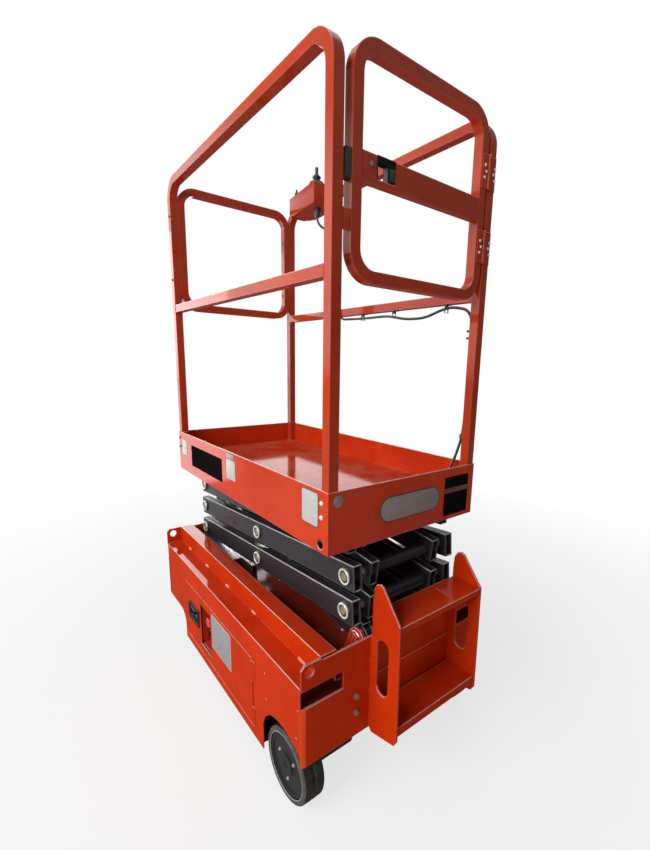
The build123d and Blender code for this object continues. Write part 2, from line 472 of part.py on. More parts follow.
# lift cylinder between the lowest inner arms and the second outer arms
ax, az = stack(CYL_A * CO, CYL_A * SI)
qx, qz = stack(reach - CYL_C * CO, PITCH + CYL_C * SI)
cl = math.hypot(qx - ax, qz - az)
ca = math.degrees(math.atan2(qz - az, ax - qx))
tub = cyl_x(0, 0, CYL_R, -cl + 100, -EYE_R + 6) - cyl_x(0, 0, CYL_BORE, -cl + 112, -EYE_R - 12)
tub -= cyl_x(0, 0, ROD_R + 0.5, -cl + 90, -cl + 120)
tub += cyl_y(0, 0, EYE_R, -EYE_W / 2, EYE_W / 2)
tub -= cyl_y(0, 0, CYL_BAR_R + 0.5, -EYE_W, EYE_W)
place = Pos(ax, 0, az) * Rot(0, ca, 0)
save("lift_cylinder_barrel", place * tub)
rod = cyl_x(0, 0, ROD_R, -cl + EYE_R - 6, -190) + cyl_x(0, 0, CYL_BORE - 0.5, -215, -190)
rod += cyl_y(-cl, 0, EYE_R, -EYE_W / 2, EYE_W / 2) + cyl_y(-cl, 0, CYL_BAR_R - 2, -EYE_W / 2 - 4, EYE_W / 2 + 4)
save("lift_cylinder_rod", place * rod)

# ================================================================================================
# Platform
# ================================================================================================
px, py = PX, PY
half = TUBE / 2
post_x, post_y = POST_X, POST_Y
# control cable's way down: it leaves through a grommet in the floor beside the front right post
cable_y = POST_IN - CABLE_R - 0.3
exit_x, exit_y = post_x - half - 48, cable_y
tray = box(-px, px, -py, py, TOE_Z0, TOE_Z1)
tray -= box(-px + TOE_T, px - TOE_T, -py + TOE_T, py - TOE_T, TOE_Z0 - 1, TOE_Z1 + 1)
tray += box(-px, px, -py, py, FLOOR_TOP - FLOOR_T, FLOOR_TOP)
pad_x, pad_y = post_x - half - PAD_OVER, POST_IN - PAD_OVER
for sx in (-1, 1):
    for sy in (-1, 1):
        x0, x1 = sorted((sx * pad_x, sx * (px - 1)))
        y0, y1 = sorted((sy * pad_y, sy * (py - 1)))
        tray += box(x0, x1, y0, y1, FLOOR_TOP - 1, FLOOR_TOP + PAD_T)
tray += cyl_z(exit_x, exit_y, GROMMET_R, FLOOR_TOP, FLOOR_TOP + GROMMET_H)
top_pin = stack(0, STAGES * PITCH)
for s in (-1, 1):
    tray -= cyl_y(top_pin[0], top_pin[1] + PIN_HOLE_UP, PIN_HOLE_R, s * py - 5, s * py + 5)
save("platform_tray", tray)
under = FLOOR_TOP - FLOOR_T
bx, bz = top_pin
br = plate_xz([(bx - 70, under), (bx + 26, under), (bx + 26, bz), (bx + 14, bz - 25),
               (bx - 14, bz - 25), (bx - 27, bz)], -gus_y1, -gus_y0)
br -= cyl_y(bx, bz, PIN_R + RUN, -gus_y1 - 1, -gus_y0 + 1)
save("platform_pivot_brackets", br, mirror_y(br))
# channels of the platform rollers, along the roller line
ty0, ty1 = pr0 - 4, pr0 + PROLL_W + 4
u0, u1 = u_open - 34, u_far + 34
w_top = STAGES * PITCH
chan = []
for w, y0, y1 in ((PROLL_R + ROLL_GAP + 1.5, ty0, ty1), (-PROLL_R - ROLL_GAP - 1.5, ty0, ty1)):
    cx, cz = stack((u0 + u1) / 2, w_top + w)
    chan.append(Pos(cx, -(y0 + y1) / 2, cz) * Rot(0, LEAN, 0) * Box(u1 - u0, y1 - y0, 3))
x1c, x0c = stack(u0, w_top)[0], stack(u1, w_top)[0]
lip_z = stack(u0, w_top - PROLL_R - ROLL_GAP - 3)[1]
chan.append(plate_xz([(x0c, under), (x1c, under), (x1c, lip_z), (x0c, lip_z + (x1c - x0c) * math.tan(LN))],
                     -ty1 - 3, -ty1))
ch = chan[0] + chan[1] + chan[2]
save("platform_roller_tracks", ch, mirror_y(ch))


def tube_path(path, y_up=(0, 1, 0)):
    """Square tube swept along a planar path of lines and arcs."""
    pl = Plane(origin=path @ 0, x_dir=y_up, z_dir=path % 0)
    inner_w = TUBE - 2 * TUBE_WALL
    return sweep(pl * Rectangle(TUBE, TUBE) - pl * Rectangle(inner_w, inner_w), path=path)


rail, foot = RAIL_Z - half, FLOOR_TOP + PAD_T
hoop = FilletPolyline((-post_x, -post_y, foot), (-post_x, -post_y, rail), (post_x, -post_y, rail),
                      (post_x, -post_y, foot), radius=HOOP_R)
guard = tube_path(hoop)
mid_rail = box(-post_x + half, post_x - half, -post_y - half, -post_y + half, MID_Z - TUBE, MID_Z)
mid_rail -= box(-post_x, post_x, -post_y - half + TUBE_WALL, -post_y + half - TUBE_WALL,
                MID_Z - TUBE + TUBE_WALL, MID_Z - TUBE_WALL)
save("guard_left", guard, mid_rail)
save("guard_right", mirror_y(guard), mirror_y(mid_rail))


def loop(x, y0, y1, z0, z1, r):
    """Closed rounded loop of hollow square tube across the platform, its outside between y0 and y1."""
    def ring(depth, cut):
        of = RectangleRounded(y1 - y0 - 2 * cut, z1 - z0 - 2 * cut, r + half - cut)
        nf = RectangleRounded(y1 - y0 - 2 * TUBE + 2 * cut, z1 - z0 - 2 * TUBE + 2 * cut, r - half + cut)
        at = Plane(origin=(x - depth / 2, (y0 + y1) / 2, (z0 + z1) / 2), x_dir=(0, 1, 0), z_dir=(1, 0, 0))
        return extrude(at * (of - nf), depth)
    return ring(TUBE, 0) - ring(TUBE - 2 * TUBE_WALL, TUBE_WALL)


save("guard_rear", loop(-post_x, -POST_IN, POST_IN, LOOP_Z0, LOOP_Z1, BEND_R))

gate_y0, gate_y1 = GATE_Y0, GATE_Y1
save("gate_frame", loop(post_x, gate_y0, gate_y1, GATE_Z0, GATE_Z1, BEND_R))
gp_y0, gp_y1 = gate_y0 + TUBE, gate_y1 - TUBE
face_x = post_x + half - 0.5
panel = box(face_x - GATE_PAN_T, face_x, gp_y0, gp_y1, GATE_PAN_Z0, GATE_PAN_Z1)
panel += box(face_x - 21, face_x, gp_y0, gp_y1, GATE_PAN_Z1 - 4, GATE_PAN_Z1)
panel += box(face_x - 21, face_x, gp_y0, gp_y1, GATE_PAN_Z0, GATE_PAN_Z0 + 4)
panel -= box(post_x, px, GRIP_Y0, GRIP_Y1, GATE_PAN_Z0 + 12, GATE_PAN_Z1 - 6)
save("gate_panel", panel)
grip = box(face_x - 19, face_x - 4, GRIP_Y1 - 22, GRIP_Y1 + 8, GATE_PAN_Z0 + 4, GATE_PAN_Z1 - 4)
save("gate_latch_grip", grip)
# hinges on the +Y post: post leaf and gate leaf meet on a pin just outside the frame
ghx, ghy = GATE_PIN_X, GATE_PIN_Y
fx0, fx1 = post_x + half, post_x + half + 3
post_leaf, gate_leaf = [], []
for drop in HINGE_DROPS:
    zc = RAIL_Z - drop
    z0, z1 = zc - HINGE_H, zc + HINGE_H
    post_leaf.append(box(fx0, fx1, ghy + 6, POST_IN + TUBE - 2, z0, z1)
                     + box(fx0, fx1, ghy + 3, ghy + 7, zc + 1, z1)
                     + cyl_z(ghx, ghy, HINGE_R, zc + 1, z1) - cyl_z(ghx, ghy, HINGE_PIN + FIT, zc, z1 + 1))
    gate_leaf.append(box(fx0, fx1, gate_y1 - TUBE + 4, ghy - 6, z0, z1)
                     + box(fx0, fx1, ghy - 7, ghy - 3, z0, zc - 1)
                     + cyl_z(ghx, ghy, HINGE_R, z0, zc - 1) + cyl_z(ghx, ghy, HINGE_PIN, zc - 1, z1 - 2))
save("gate_hinges_post", *post_leaf)
save("gate_hinges_gate", *gate_leaf)
# latch block on the gate's free edge
save("gate_latch_pad", box(post_x - 8, post_x + half - 1, -POST_IN + STOP_GAP, gate_y0, GATE_PAN_Z0 - 5,
                           GATE_PAN_Z1 - 6))

# upper control box hung on the right top rail, with joystick and gland
cb_x, cb_y = (CB_X0 + CB_X1) / 2, (CB_Y0 + CB_Y1) / 2
cbx = box(CB_X0, CB_X1, CB_Y0, CB_Y1, CB_Z0, CB_Z1)
cbx = fillet(cbx.edges().filter_by(Axis.Z), 6)
cbx -= box(CB_X0 + 3, CB_X1 - 3, CB_Y0 + 3, CB_Y1 - 3, CB_Z0 + 3, CB_Z1 - 3)
jx, jy = CB_X1 - 42, cb_y
for dx in (20, 130):                                   # hangers that hook on the top rail
    cbx += box(CB_X0 + dx, CB_X0 + dx + 30, CB_Y1 - 1, post_y + half, RAIL_Z, RAIL_Z + 4)
    cbx += box(CB_X0 + dx, CB_X0 + dx + 30, CB_Y1 - 1, CB_Y1 + 3, CB_Z0 + 30, RAIL_Z + 4)
gl_x, gl_y, gl_z = CB_X1 - 38, jy - 12, CB_Z0 - 22
cbx += cyl_z(gl_x, gl_y, 13, gl_z, CB_Z0 + 1)
save("control_box", cbx)
prof = [(0, 0), (30, 0), (30, 6), (19, 14), (22, 24), (13, 30), (15, 36), (7, 42), (6, 78), (8, 84), (0, 86)]
boot = Pos(jx, jy, CB_Z1) * revolve(make_face(Plane.XZ * Polyline(*prof, close=True)), Axis.Z)
tog = cyl_z(CB_X0 + 60, jy, 9, CB_Z1, CB_Z1 + 6) + cyl_z(CB_X0 + 60, jy, 4, CB_Z1 + 6, CB_Z1 + 24)
save("control_levers", boot, tog)


def cord(points, r, name):
    """Round cable along straight runs joined by tangent arcs as large as the runs allow."""
    pts = [Vector(*p) for p in points]
    radii = []
    for a, b, c in zip(pts, pts[1:], pts[2:]):
        turn = math.radians((b - a).get_angle(c - b))
        first = 0.9 if a is pts[0] else 0.45
        last = 0.9 if c is pts[-1] else 0.45
        radii.append(min(first * (b - a).length, last * (c - b).length) / math.tan(turn / 2))
    path = FilletPolyline(*pts, radius=radii)
    body = sweep(Plane(origin=path @ 0, z_dir=path % 0) * Circle(r), path=path)
    print(name, "length", round(path.length), "radii", [round(q) for q in radii],
          "volume ratio", round(body.volume / (math.pi * r * r * path.length), 4))
    return body


# cable from the gland down to the right mid rail, tied under it, then down behind the front post
low = MID_Z - TUBE                                     # underside of the mid rail
tied, under_y = low - 18, POST_IN + 6
back_x, back_y = post_x - half - CABLE_R - 1, post_y + 1
tie_x = (gl_x + 219, gl_x + 401, post_x - 117)
sag_x = (tie_x[1] + tie_x[2]) / 2 - 12
cable_pts = [(gl_x, gl_y, gl_z), (gl_x, gl_y, gl_z - 26), (gl_x + 39, gl_y + 48, gl_z - 62),
             (gl_x + 52, cable_y - 4, gl_z - 170), (gl_x + 64, cable_y - 1, low + 62),
             (gl_x + 77, cable_y - 1, tied + 4), (tie_x[0], under_y, tied), (tie_x[1] - 30, under_y, tied + 1),
             (sag_x - 56, under_y, tied - 17), (sag_x + 40, under_y, tied - 19),
             (tie_x[2] - 20, under_y, tied + 3), (post_x - half - 79, under_y + 2, tied + 9),
             (back_x - 1, back_y - 2, tied - 6), (back_x, back_y, tied - 90), (back_x, back_y, FLOOR_TOP + 250),
             (back_x - 4, back_y - 1, FLOOR_TOP + 182), (back_x - 24, back_y - 9, FLOOR_TOP + 98),
             (exit_x, exit_y, FLOOR_TOP + 44), (exit_x, exit_y, FLOOR_TOP + GROMMET_H)]
save("control_cable", cord(cable_pts, CABLE_R, "control_cable"))

print("SHIFT", SHIFT, "arm", ARM_L, "pitch", PITCH, "far", FAR_X, "cyl", cl, ca, "pin", ax, az, "rod", qx, qz)
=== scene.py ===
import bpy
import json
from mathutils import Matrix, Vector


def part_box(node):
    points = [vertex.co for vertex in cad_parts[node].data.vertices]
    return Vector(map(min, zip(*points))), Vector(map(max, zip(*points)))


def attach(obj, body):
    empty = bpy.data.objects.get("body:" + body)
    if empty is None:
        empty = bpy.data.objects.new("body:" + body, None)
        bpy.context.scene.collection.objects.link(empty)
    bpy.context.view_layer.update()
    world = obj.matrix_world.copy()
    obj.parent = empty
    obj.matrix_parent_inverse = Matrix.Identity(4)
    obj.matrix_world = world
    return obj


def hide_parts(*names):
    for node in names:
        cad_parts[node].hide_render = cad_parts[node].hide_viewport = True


bl_info = {
    "name": "Mini Scissor Lift Dressing",
    "version": (1, 0, 0),
    "blender": (4, 5, 0),
    "location": "3D View > Sidebar > Lift",
    "description": "Finishes and small parts of a folded mini scissor lift, built on its packed frame",
    "category": "Add Mesh",
}

import json
import math

import bmesh
import bpy
from mathutils import Matrix, Vector

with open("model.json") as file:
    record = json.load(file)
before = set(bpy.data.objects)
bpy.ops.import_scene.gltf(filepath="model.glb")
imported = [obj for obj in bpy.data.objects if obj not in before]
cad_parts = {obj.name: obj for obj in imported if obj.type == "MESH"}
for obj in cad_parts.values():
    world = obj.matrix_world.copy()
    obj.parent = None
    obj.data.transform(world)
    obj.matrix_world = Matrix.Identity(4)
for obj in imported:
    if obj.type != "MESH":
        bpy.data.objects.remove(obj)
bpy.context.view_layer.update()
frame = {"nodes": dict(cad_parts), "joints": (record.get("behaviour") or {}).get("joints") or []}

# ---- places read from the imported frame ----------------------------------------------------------
UP = Vector((0, 0, 1))
LEFT, RIGHT, FRONT, REAR = Vector((0, -1, 0)), Vector((0, 1, 0)), Vector((1, 0, 0)), Vector((-1, 0, 0))
JOINTS = {joint["name"]: joint for joint in frame["joints"]}
NODES = frame["nodes"]


def pivot(joint):
    """Where a joint turns, in metres."""
    return Vector(JOINTS[joint]["pos_m"])


SIDE_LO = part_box("side_box_left")[0]
TRAY_LO, TRAY_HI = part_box("platform_tray")
GUARD_LO, GUARD_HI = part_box("guard_left")
PANEL_LO, PANEL_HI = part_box("gate_panel")
GATE_LO, GATE_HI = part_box("gate_frame")
BOX_LO, BOX_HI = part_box("control_box")
STEP_LO, STEP_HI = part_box("step_side_plates")
DECK_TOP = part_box("chassis_deck")[1].z
HALF_WIDTH = -SIDE_LO.y
END_X, REAR_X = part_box("end_plate_front")[1].x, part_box("end_plate_rear")[0].x
MID_RAIL = GUARD_LO.z + 0.638  # top of the guards' mid rail


# ---- settings a user would change ---------------------------------------------------------------
class LiftFinishSettings(bpy.types.PropertyGroup):
    """Colours and coats of the lift's finishes."""
    orange: bpy.props.FloatVectorProperty(
        name="Orange paint", description="Colour of the chassis, platform, guards and step",
        default=(0.66, 0.042, 0.003), size=3, min=0, max=1, subtype="COLOR")
    orange_deep: bpy.props.FloatVectorProperty(
        name="Thin orange", description="Colour where the orange coat is thinner or older",
        default=(0.55, 0.030, 0.003), size=3, min=0, max=1, subtype="COLOR")
    arm_black: bpy.props.FloatVectorProperty(
        name="Arm black", description="Colour of the scissor arms",
        default=(0.022, 0.019, 0.024), size=3, min=0, max=1, subtype="COLOR")
    dust: bpy.props.FloatVectorProperty(
        name="Dust", description="Colour of dust and dried water spots",
        default=(0.60, 0.50, 0.44), size=3, min=0, max=1, subtype="COLOR")
    gloss: bpy.props.FloatProperty(
        name="Clear gloss", description="Weight of the glossy coat over the orange paint",
        default=0.10, min=0, max=1, subtype="FACTOR")
    peel: bpy.props.FloatProperty(
        name="Orange peel", description="Strength of the fine waviness of sprayed paint",
        default=0.10, min=0, max=1, subtype="FACTOR")
    soft_edge: bpy.props.FloatProperty(
        name="Rounded edge", description="Radius that folded sheet edges seem to have",
        default=0.0046, min=0, max=0.01, precision=4, subtype="DISTANCE", unit="LENGTH")


class LiftHardwareSettings(bpy.types.PropertyGroup):
    """Sizes of the small parts."""
    bolt: bpy.props.FloatProperty(
        name="Bolt head", description="Width over the flats of the chassis bolts",
        default=0.013, min=0.004, max=0.04, precision=4, subtype="DISTANCE", unit="LENGTH")
    rivet: bpy.props.FloatProperty(
        name="Screw head", description="Diameter of the domed screw heads",
        default=0.013, min=0.004, max=0.04, precision=4, subtype="DISTANCE", unit="LENGTH")
    weld: bpy.props.FloatProperty(
        name="Weld bead", description="Radius of the weld beads",
        default=0.0028, min=0.0005, max=0.01, precision=4, subtype="DISTANCE", unit="LENGTH")
    ring: bpy.props.FloatProperty(
        name="Pin ring", description="Outer radius of the bright rings round the arm pins",
        default=0.0235, min=0.015, max=0.03, precision=4, subtype="DISTANCE", unit="LENGTH")
    tyre_shoulder: bpy.props.FloatProperty(
        name="Tyre shoulder", description="Rounding between the tread and the side of a drive tyre",
        default=0.010, min=0.002, max=0.02, precision=4, subtype="DISTANCE", unit="LENGTH")
    plate: bpy.props.FloatProperty(
        name="Sign plate", description="Thickness of the blank signs",
        default=0.0008, min=0.0002, max=0.003, precision=4, subtype="DISTANCE", unit="LENGTH")


SENSOR = 36.0  # millimetres wide


class LiftStageSettings(bpy.types.PropertyGroup):
    """Floor, lamps and camera."""
    eye: bpy.props.FloatVectorProperty(
        name="Camera place", description="Where the camera stands",
        default=(1.37538, -0.90784, 1.28155), size=3, subtype="XYZ", unit="LENGTH")
    heading: bpy.props.FloatProperty(
        name="Heading", description="Turn of the view about the upright, from +Y towards -X",
        default=math.radians(51.12), subtype="ANGLE", unit="ROTATION")
    dip: bpy.props.FloatProperty(
        name="Dip", description="How far the view looks down",
        default=math.radians(11.04), subtype="ANGLE", unit="ROTATION")
    roll: bpy.props.FloatProperty(
        name="Roll", description="Turn of the view about its own axis",
        default=math.radians(1.26), subtype="ANGLE", unit="ROTATION")
    lens: bpy.props.FloatProperty(
        name="Lens", description="Focal length on a 36 mm sensor", default=18.304, min=5, max=200)
    shift: bpy.props.FloatVectorProperty(
        name="Shift", description="How far the view is shifted across and up, as shares of its larger side",
        default=(-0.0314, 0.0262), size=2)
    floor: bpy.props.FloatVectorProperty(
        name="Floor", description="Colour of the floor", default=(0.90, 0.90, 0.895), size=3,
        min=0, max=1, subtype="COLOR")
    near_white: bpy.props.FloatProperty(
        name="White floor", description="Share of plain white that the camera sees on the floor by the lift",
        default=0.74, min=0, max=1, subtype="FACTOR")
    side_lamp: bpy.props.FloatProperty(
        name="Side lamp", description="Power of the large soft lamp on the control side", default=196.0,
        min=0, max=2000, unit="POWER")
    top_lamp: bpy.props.FloatProperty(
        name="Top lamp", description="Power of the soft lamp overhead", default=24.0, min=0, max=2000,
        unit="POWER")
    card: bpy.props.FloatProperty(
        name="Reflector cards", description="Brightness of the cards that only gloss and metal show",
        default=3.2, min=0, max=40)
    sky: bpy.props.FloatProperty(
        name="Room light", description="Strength of the even light from all round", default=0.13, min=0, max=5)
    window: bpy.props.FloatProperty(
        name="Window", description="Brightness of the window band on the control side that only gloss shows",
        default=2.6, min=0, max=20)
    dark_side: bpy.props.FloatProperty(
        name="Unlit room", description="How bright the room behind the camera looks in gloss and metal",
        default=0.20, min=0, max=1, subtype="FACTOR")


def finish_settings():
    return bpy.context.scene.lift_finish


def hardware():
    return bpy.context.scene.lift_hardware


# ---- node groups that several finishes share ---------------------------------------------------
FLOAT, COLOUR, VECTOR = "NodeSocketFloat", "NodeSocketColor", "NodeSocketVector"


class Graph:
    """Adds nodes to one tree, from left to right."""

    def __init__(self, tree):
        self.tree, self.count = tree, 0
        tree.nodes.clear()

    def add(self, kind, links=None, **settings):
        node = self.tree.nodes.new(kind)
        node.location = (self.count * 190, -(self.count % 3) * 220)
        self.count += 1
        for key, value in settings.items():
            setattr(node, key, value)
        for key, value in (links or {}).items():
            socket = node.inputs[key]
            if isinstance(value, bpy.types.NodeSocket):
                self.tree.links.new(value, socket)
            else:
                socket.default_value = value
        return node

    def ramp(self, value, low, high):
        """0 below low and 1 above high, or the other way round where low is greater."""
        return self.add("ShaderNodeMapRange", {0: value, 1: low, 2: high, 3: 0.0, 4: 1.0}).outputs[0]

    def span(self, share, low, high):
        """low where share is 0, and high where it is 1."""
        return self.add("ShaderNodeMapRange", {0: share, 1: 0.0, 2: 1.0, 3: low, 4: high}).outputs[0]

    def noise(self, place, scale, detail, rough):
        return self.add("ShaderNodeTexNoise", {"Vector": place, "Scale": scale, "Detail": detail,
                                               "Roughness": rough}).outputs["Fac"]

    def maths(self, operation, a, b):
        return self.add("ShaderNodeMath", {0: a, 1: b}, operation=operation).outputs[0]

    def times(self, a, b):
        return self.maths("MULTIPLY", a, b)

    def plus(self, a, b):
        return self.maths("ADD", a, b)

    def dot(self, a, b):
        return self.add("ShaderNodeVectorMath", {0: a, 1: b}, operation="DOT_PRODUCT").outputs["Value"]

    def z_of(self, vector):
        return self.add("ShaderNodeSeparateXYZ", {0: vector}).outputs["Z"]

    def place(self):
        """Object coordinates, in metres."""
        return self.add("ShaderNodeTexCoord").outputs["Object"]

    def mix(self, amount, a, b):
        """Colour a where amount is 0, and colour b where it is 1."""
        return self.add("ShaderNodeMix", {0: amount, 6: a, 7: b}, data_type="RGBA").outputs[2]

    def rounded(self, radius, samples):
        """Normal that turns softly round the edges."""
        return self.add("ShaderNodeBevel", {"Radius": radius}, samples=samples).outputs["Normal"]

    def bump(self, strength, distance, height, normal):
        return self.add("ShaderNodeBump", {"Strength": strength, "Distance": distance, "Height": height,
                                           "Normal": normal}).outputs["Normal"]


def node_group(name, inputs, outputs):
    """Empty shader group with named sockets, (name, type, default); gives its graph, inputs and tree."""
    group = bpy.data.node_groups.new(name, "ShaderNodeTree")
    graph = Graph(group)
    for label, kind, default in inputs:
        group.interface.new_socket(label, in_out="INPUT", socket_type=kind).default_value = default
    for label, kind in outputs:
        group.interface.new_socket(label, in_out="OUTPUT", socket_type=kind)
    return graph, graph.add("NodeGroupInput").outputs, group


def sprayed_coat_group():
    """Sprayed paint: soft folded edges, orange peel, clouding, fine specks, dust on level faces and a painted
    highlight on upward outer edges.
    """
    graph, given, group = node_group(
        "Sprayed Coat",
        [("Colour", COLOUR, (0.6, 0.06, 0.01, 1)), ("Thin Colour", COLOUR, (0.5, 0.04, 0.01, 1)),
         ("Edge Highlight Colour", COLOUR, (0.9, 0.3, 0.15, 1)), ("Dust Colour", COLOUR, (0.6, 0.5, 0.44, 1)),
         ("Dust", FLOAT, 0.5), ("Peel", FLOAT, 0.1), ("Edge Radius", FLOAT, 0.002), ("Edge Light", FLOAT, 0.4),
         ("Roughness", FLOAT, 0.3), ("Gloss", FLOAT, 0.1), ("Level Gloss", FLOAT, 0.1)],
        [("Colour", COLOUR), ("Roughness", FLOAT), ("Coat", FLOAT), ("Normal", VECTOR)])
    place = graph.place()
    normal = graph.add("ShaderNodeNewGeometry").outputs["Normal"]
    rounded = graph.rounded(given["Edge Radius"], 6)

    # painted highlight: outer edges that face up get a pale colour mixed in as if they caught the light, and inner
    # corners and edges that face down don't
    turn = graph.ramp(graph.dot(rounded, normal), 0.996, 0.935)
    open_air = graph.add("ShaderNodeAmbientOcclusion", {"Distance": 0.008}, samples=6, only_local=False).outputs["AO"]
    rise = graph.span(graph.ramp(graph.z_of(rounded), 0.12, 0.55), 0.07, 1.0)
    edge = graph.times(graph.times(graph.times(turn, graph.ramp(open_air, 0.72, 0.90)), rise), given["Edge Light"])

    cloud = graph.ramp(graph.noise(place, 3.2, 4.0, 0.6), 0.36, 0.68)
    specks = graph.ramp(graph.noise(place, 260.0, 2.0, 0.6), 0.60, 0.74)
    patches = graph.ramp(graph.noise(place, 9.0, 5.0, 0.65), 0.42, 0.72)
    level = graph.ramp(graph.z_of(normal), 0.75, 0.98)
    settled = graph.times(graph.plus(graph.times(level, 0.75), 0.12), given["Dust"])
    film = graph.times(settled, patches)
    colour = graph.mix(cloud, given["Colour"], given["Thin Colour"])
    colour = graph.mix(graph.times(film, 0.30), colour, given["Dust Colour"])
    colour = graph.mix(graph.times(graph.times(settled, specks), 0.85), colour, given["Dust Colour"])
    # painted highlight: the pale edge colour is mixed into the paint along upward outer edges
    colour = graph.mix(edge, colour, given["Edge Highlight Colour"])
    rough = graph.plus(graph.plus(given["Roughness"], graph.times(film, 0.25)), graph.times(cloud, 0.07))
    graph.add("NodeGroupOutput", {
        "Colour": colour, "Roughness": rough, "Coat": graph.span(level, given["Gloss"], given["Level Gloss"]),
        "Normal": graph.bump(given["Peel"], 0.0008, graph.noise(place, 420.0, 3.0, 0.55), rounded)})
    return group


def bare_metal_group():
    """Turned or rolled bare metal: tone, fine scratches and a dull film."""
    graph, given, group = node_group(
        "Bare Metal",
        [("Colour", COLOUR, (0.6, 0.6, 0.58, 1)), ("Stain", COLOUR, (0.3, 0.25, 0.2, 1)), ("Stained", FLOAT, 0.3),
         ("Roughness", FLOAT, 0.3), ("Scratch", FLOAT, 0.15)],
        [("Colour", COLOUR), ("Roughness", FLOAT), ("Normal", VECTOR)])
    place = graph.place()
    film = graph.times(graph.ramp(graph.noise(place, 60.0, 5.0, 0.65), 0.42, 0.75), given["Stained"])
    stretched = graph.add("ShaderNodeMapping", {"Vector": place, "Scale": (1.0, 14.0, 1.0)}).outputs[0]
    lines = graph.noise(stretched, 180.0, 4.0, 0.6)
    graph.add("NodeGroupOutput", {
        "Colour": graph.mix(film, given["Colour"], given["Stain"]),
        "Roughness": graph.plus(given["Roughness"], graph.times(film, 0.4)),
        "Normal": graph.bump(given["Scratch"], 0.0003, lines, graph.rounded(0.0006, 4))})
    return group


def moulded_group():
    """Moulded plastic or rubber: fine pebble grain, scuffs and dust in the grain."""
    graph, given, group = node_group(
        "Moulded Skin",
        [("Colour", COLOUR, (0.02, 0.02, 0.02, 1)), ("Scuff Colour", COLOUR, (0.2, 0.19, 0.18, 1)),
         ("Scuffs", FLOAT, 0.3), ("Grain Size", FLOAT, 500.0), ("Grain", FLOAT, 0.2), ("Roughness", FLOAT, 0.5)],
        [("Colour", COLOUR), ("Roughness", FLOAT), ("Normal", VECTOR)])
    place = graph.place()
    pebbles = graph.add("ShaderNodeTexVoronoi", {"Vector": place, "Scale": given["Grain Size"]},
                        feature="SMOOTH_F1").outputs["Distance"]
    scuff = graph.times(graph.ramp(graph.noise(place, 24.0, 6.0, 0.7), 0.45, 0.75), given["Scuffs"])
    fine = graph.times(graph.ramp(graph.noise(place, 330.0, 3.0, 0.6), 0.40, 0.72), given["Scuffs"])
    colour = graph.mix(scuff, given["Colour"], given["Scuff Colour"])
    graph.add("NodeGroupOutput", {
        "Colour": graph.mix(graph.times(fine, 0.5), colour, given["Scuff Colour"]),
        "Roughness": graph.plus(given["Roughness"], graph.times(scuff, 0.2)),
        "Normal": graph.bump(given["Grain"], 0.0005, pebbles, graph.rounded(0.0010, 4))})
    return group


def solid(colour):
    return (*colour, 1.0)


def finished(name, group, values, metallic=0.0, coat=0.0, coat_rough=0.1, specular=0.5):
    """A material whose colour, roughness and normal come from one shared group.

    The coat comes from the group only where level faces have a weight of their own.
    """
    material = bpy.data.materials.new(name)
    material.use_nodes = True
    graph = Graph(material.node_tree)
    skin = graph.add("ShaderNodeGroup", values, node_tree=group).outputs
    shader = graph.add("ShaderNodeBsdfPrincipled", {
        "Base Color": skin["Colour"], "Roughness": skin["Roughness"], "Normal": skin["Normal"],
        "Metallic": metallic, "Coat Weight": skin["Coat"] if "Level Gloss" in values else coat,
        "Coat Roughness": coat_rough, "Specular IOR Level": specular})
    graph.add("ShaderNodeOutputMaterial", {"Surface": shader.outputs[0]})
    return material


FINISH = {}


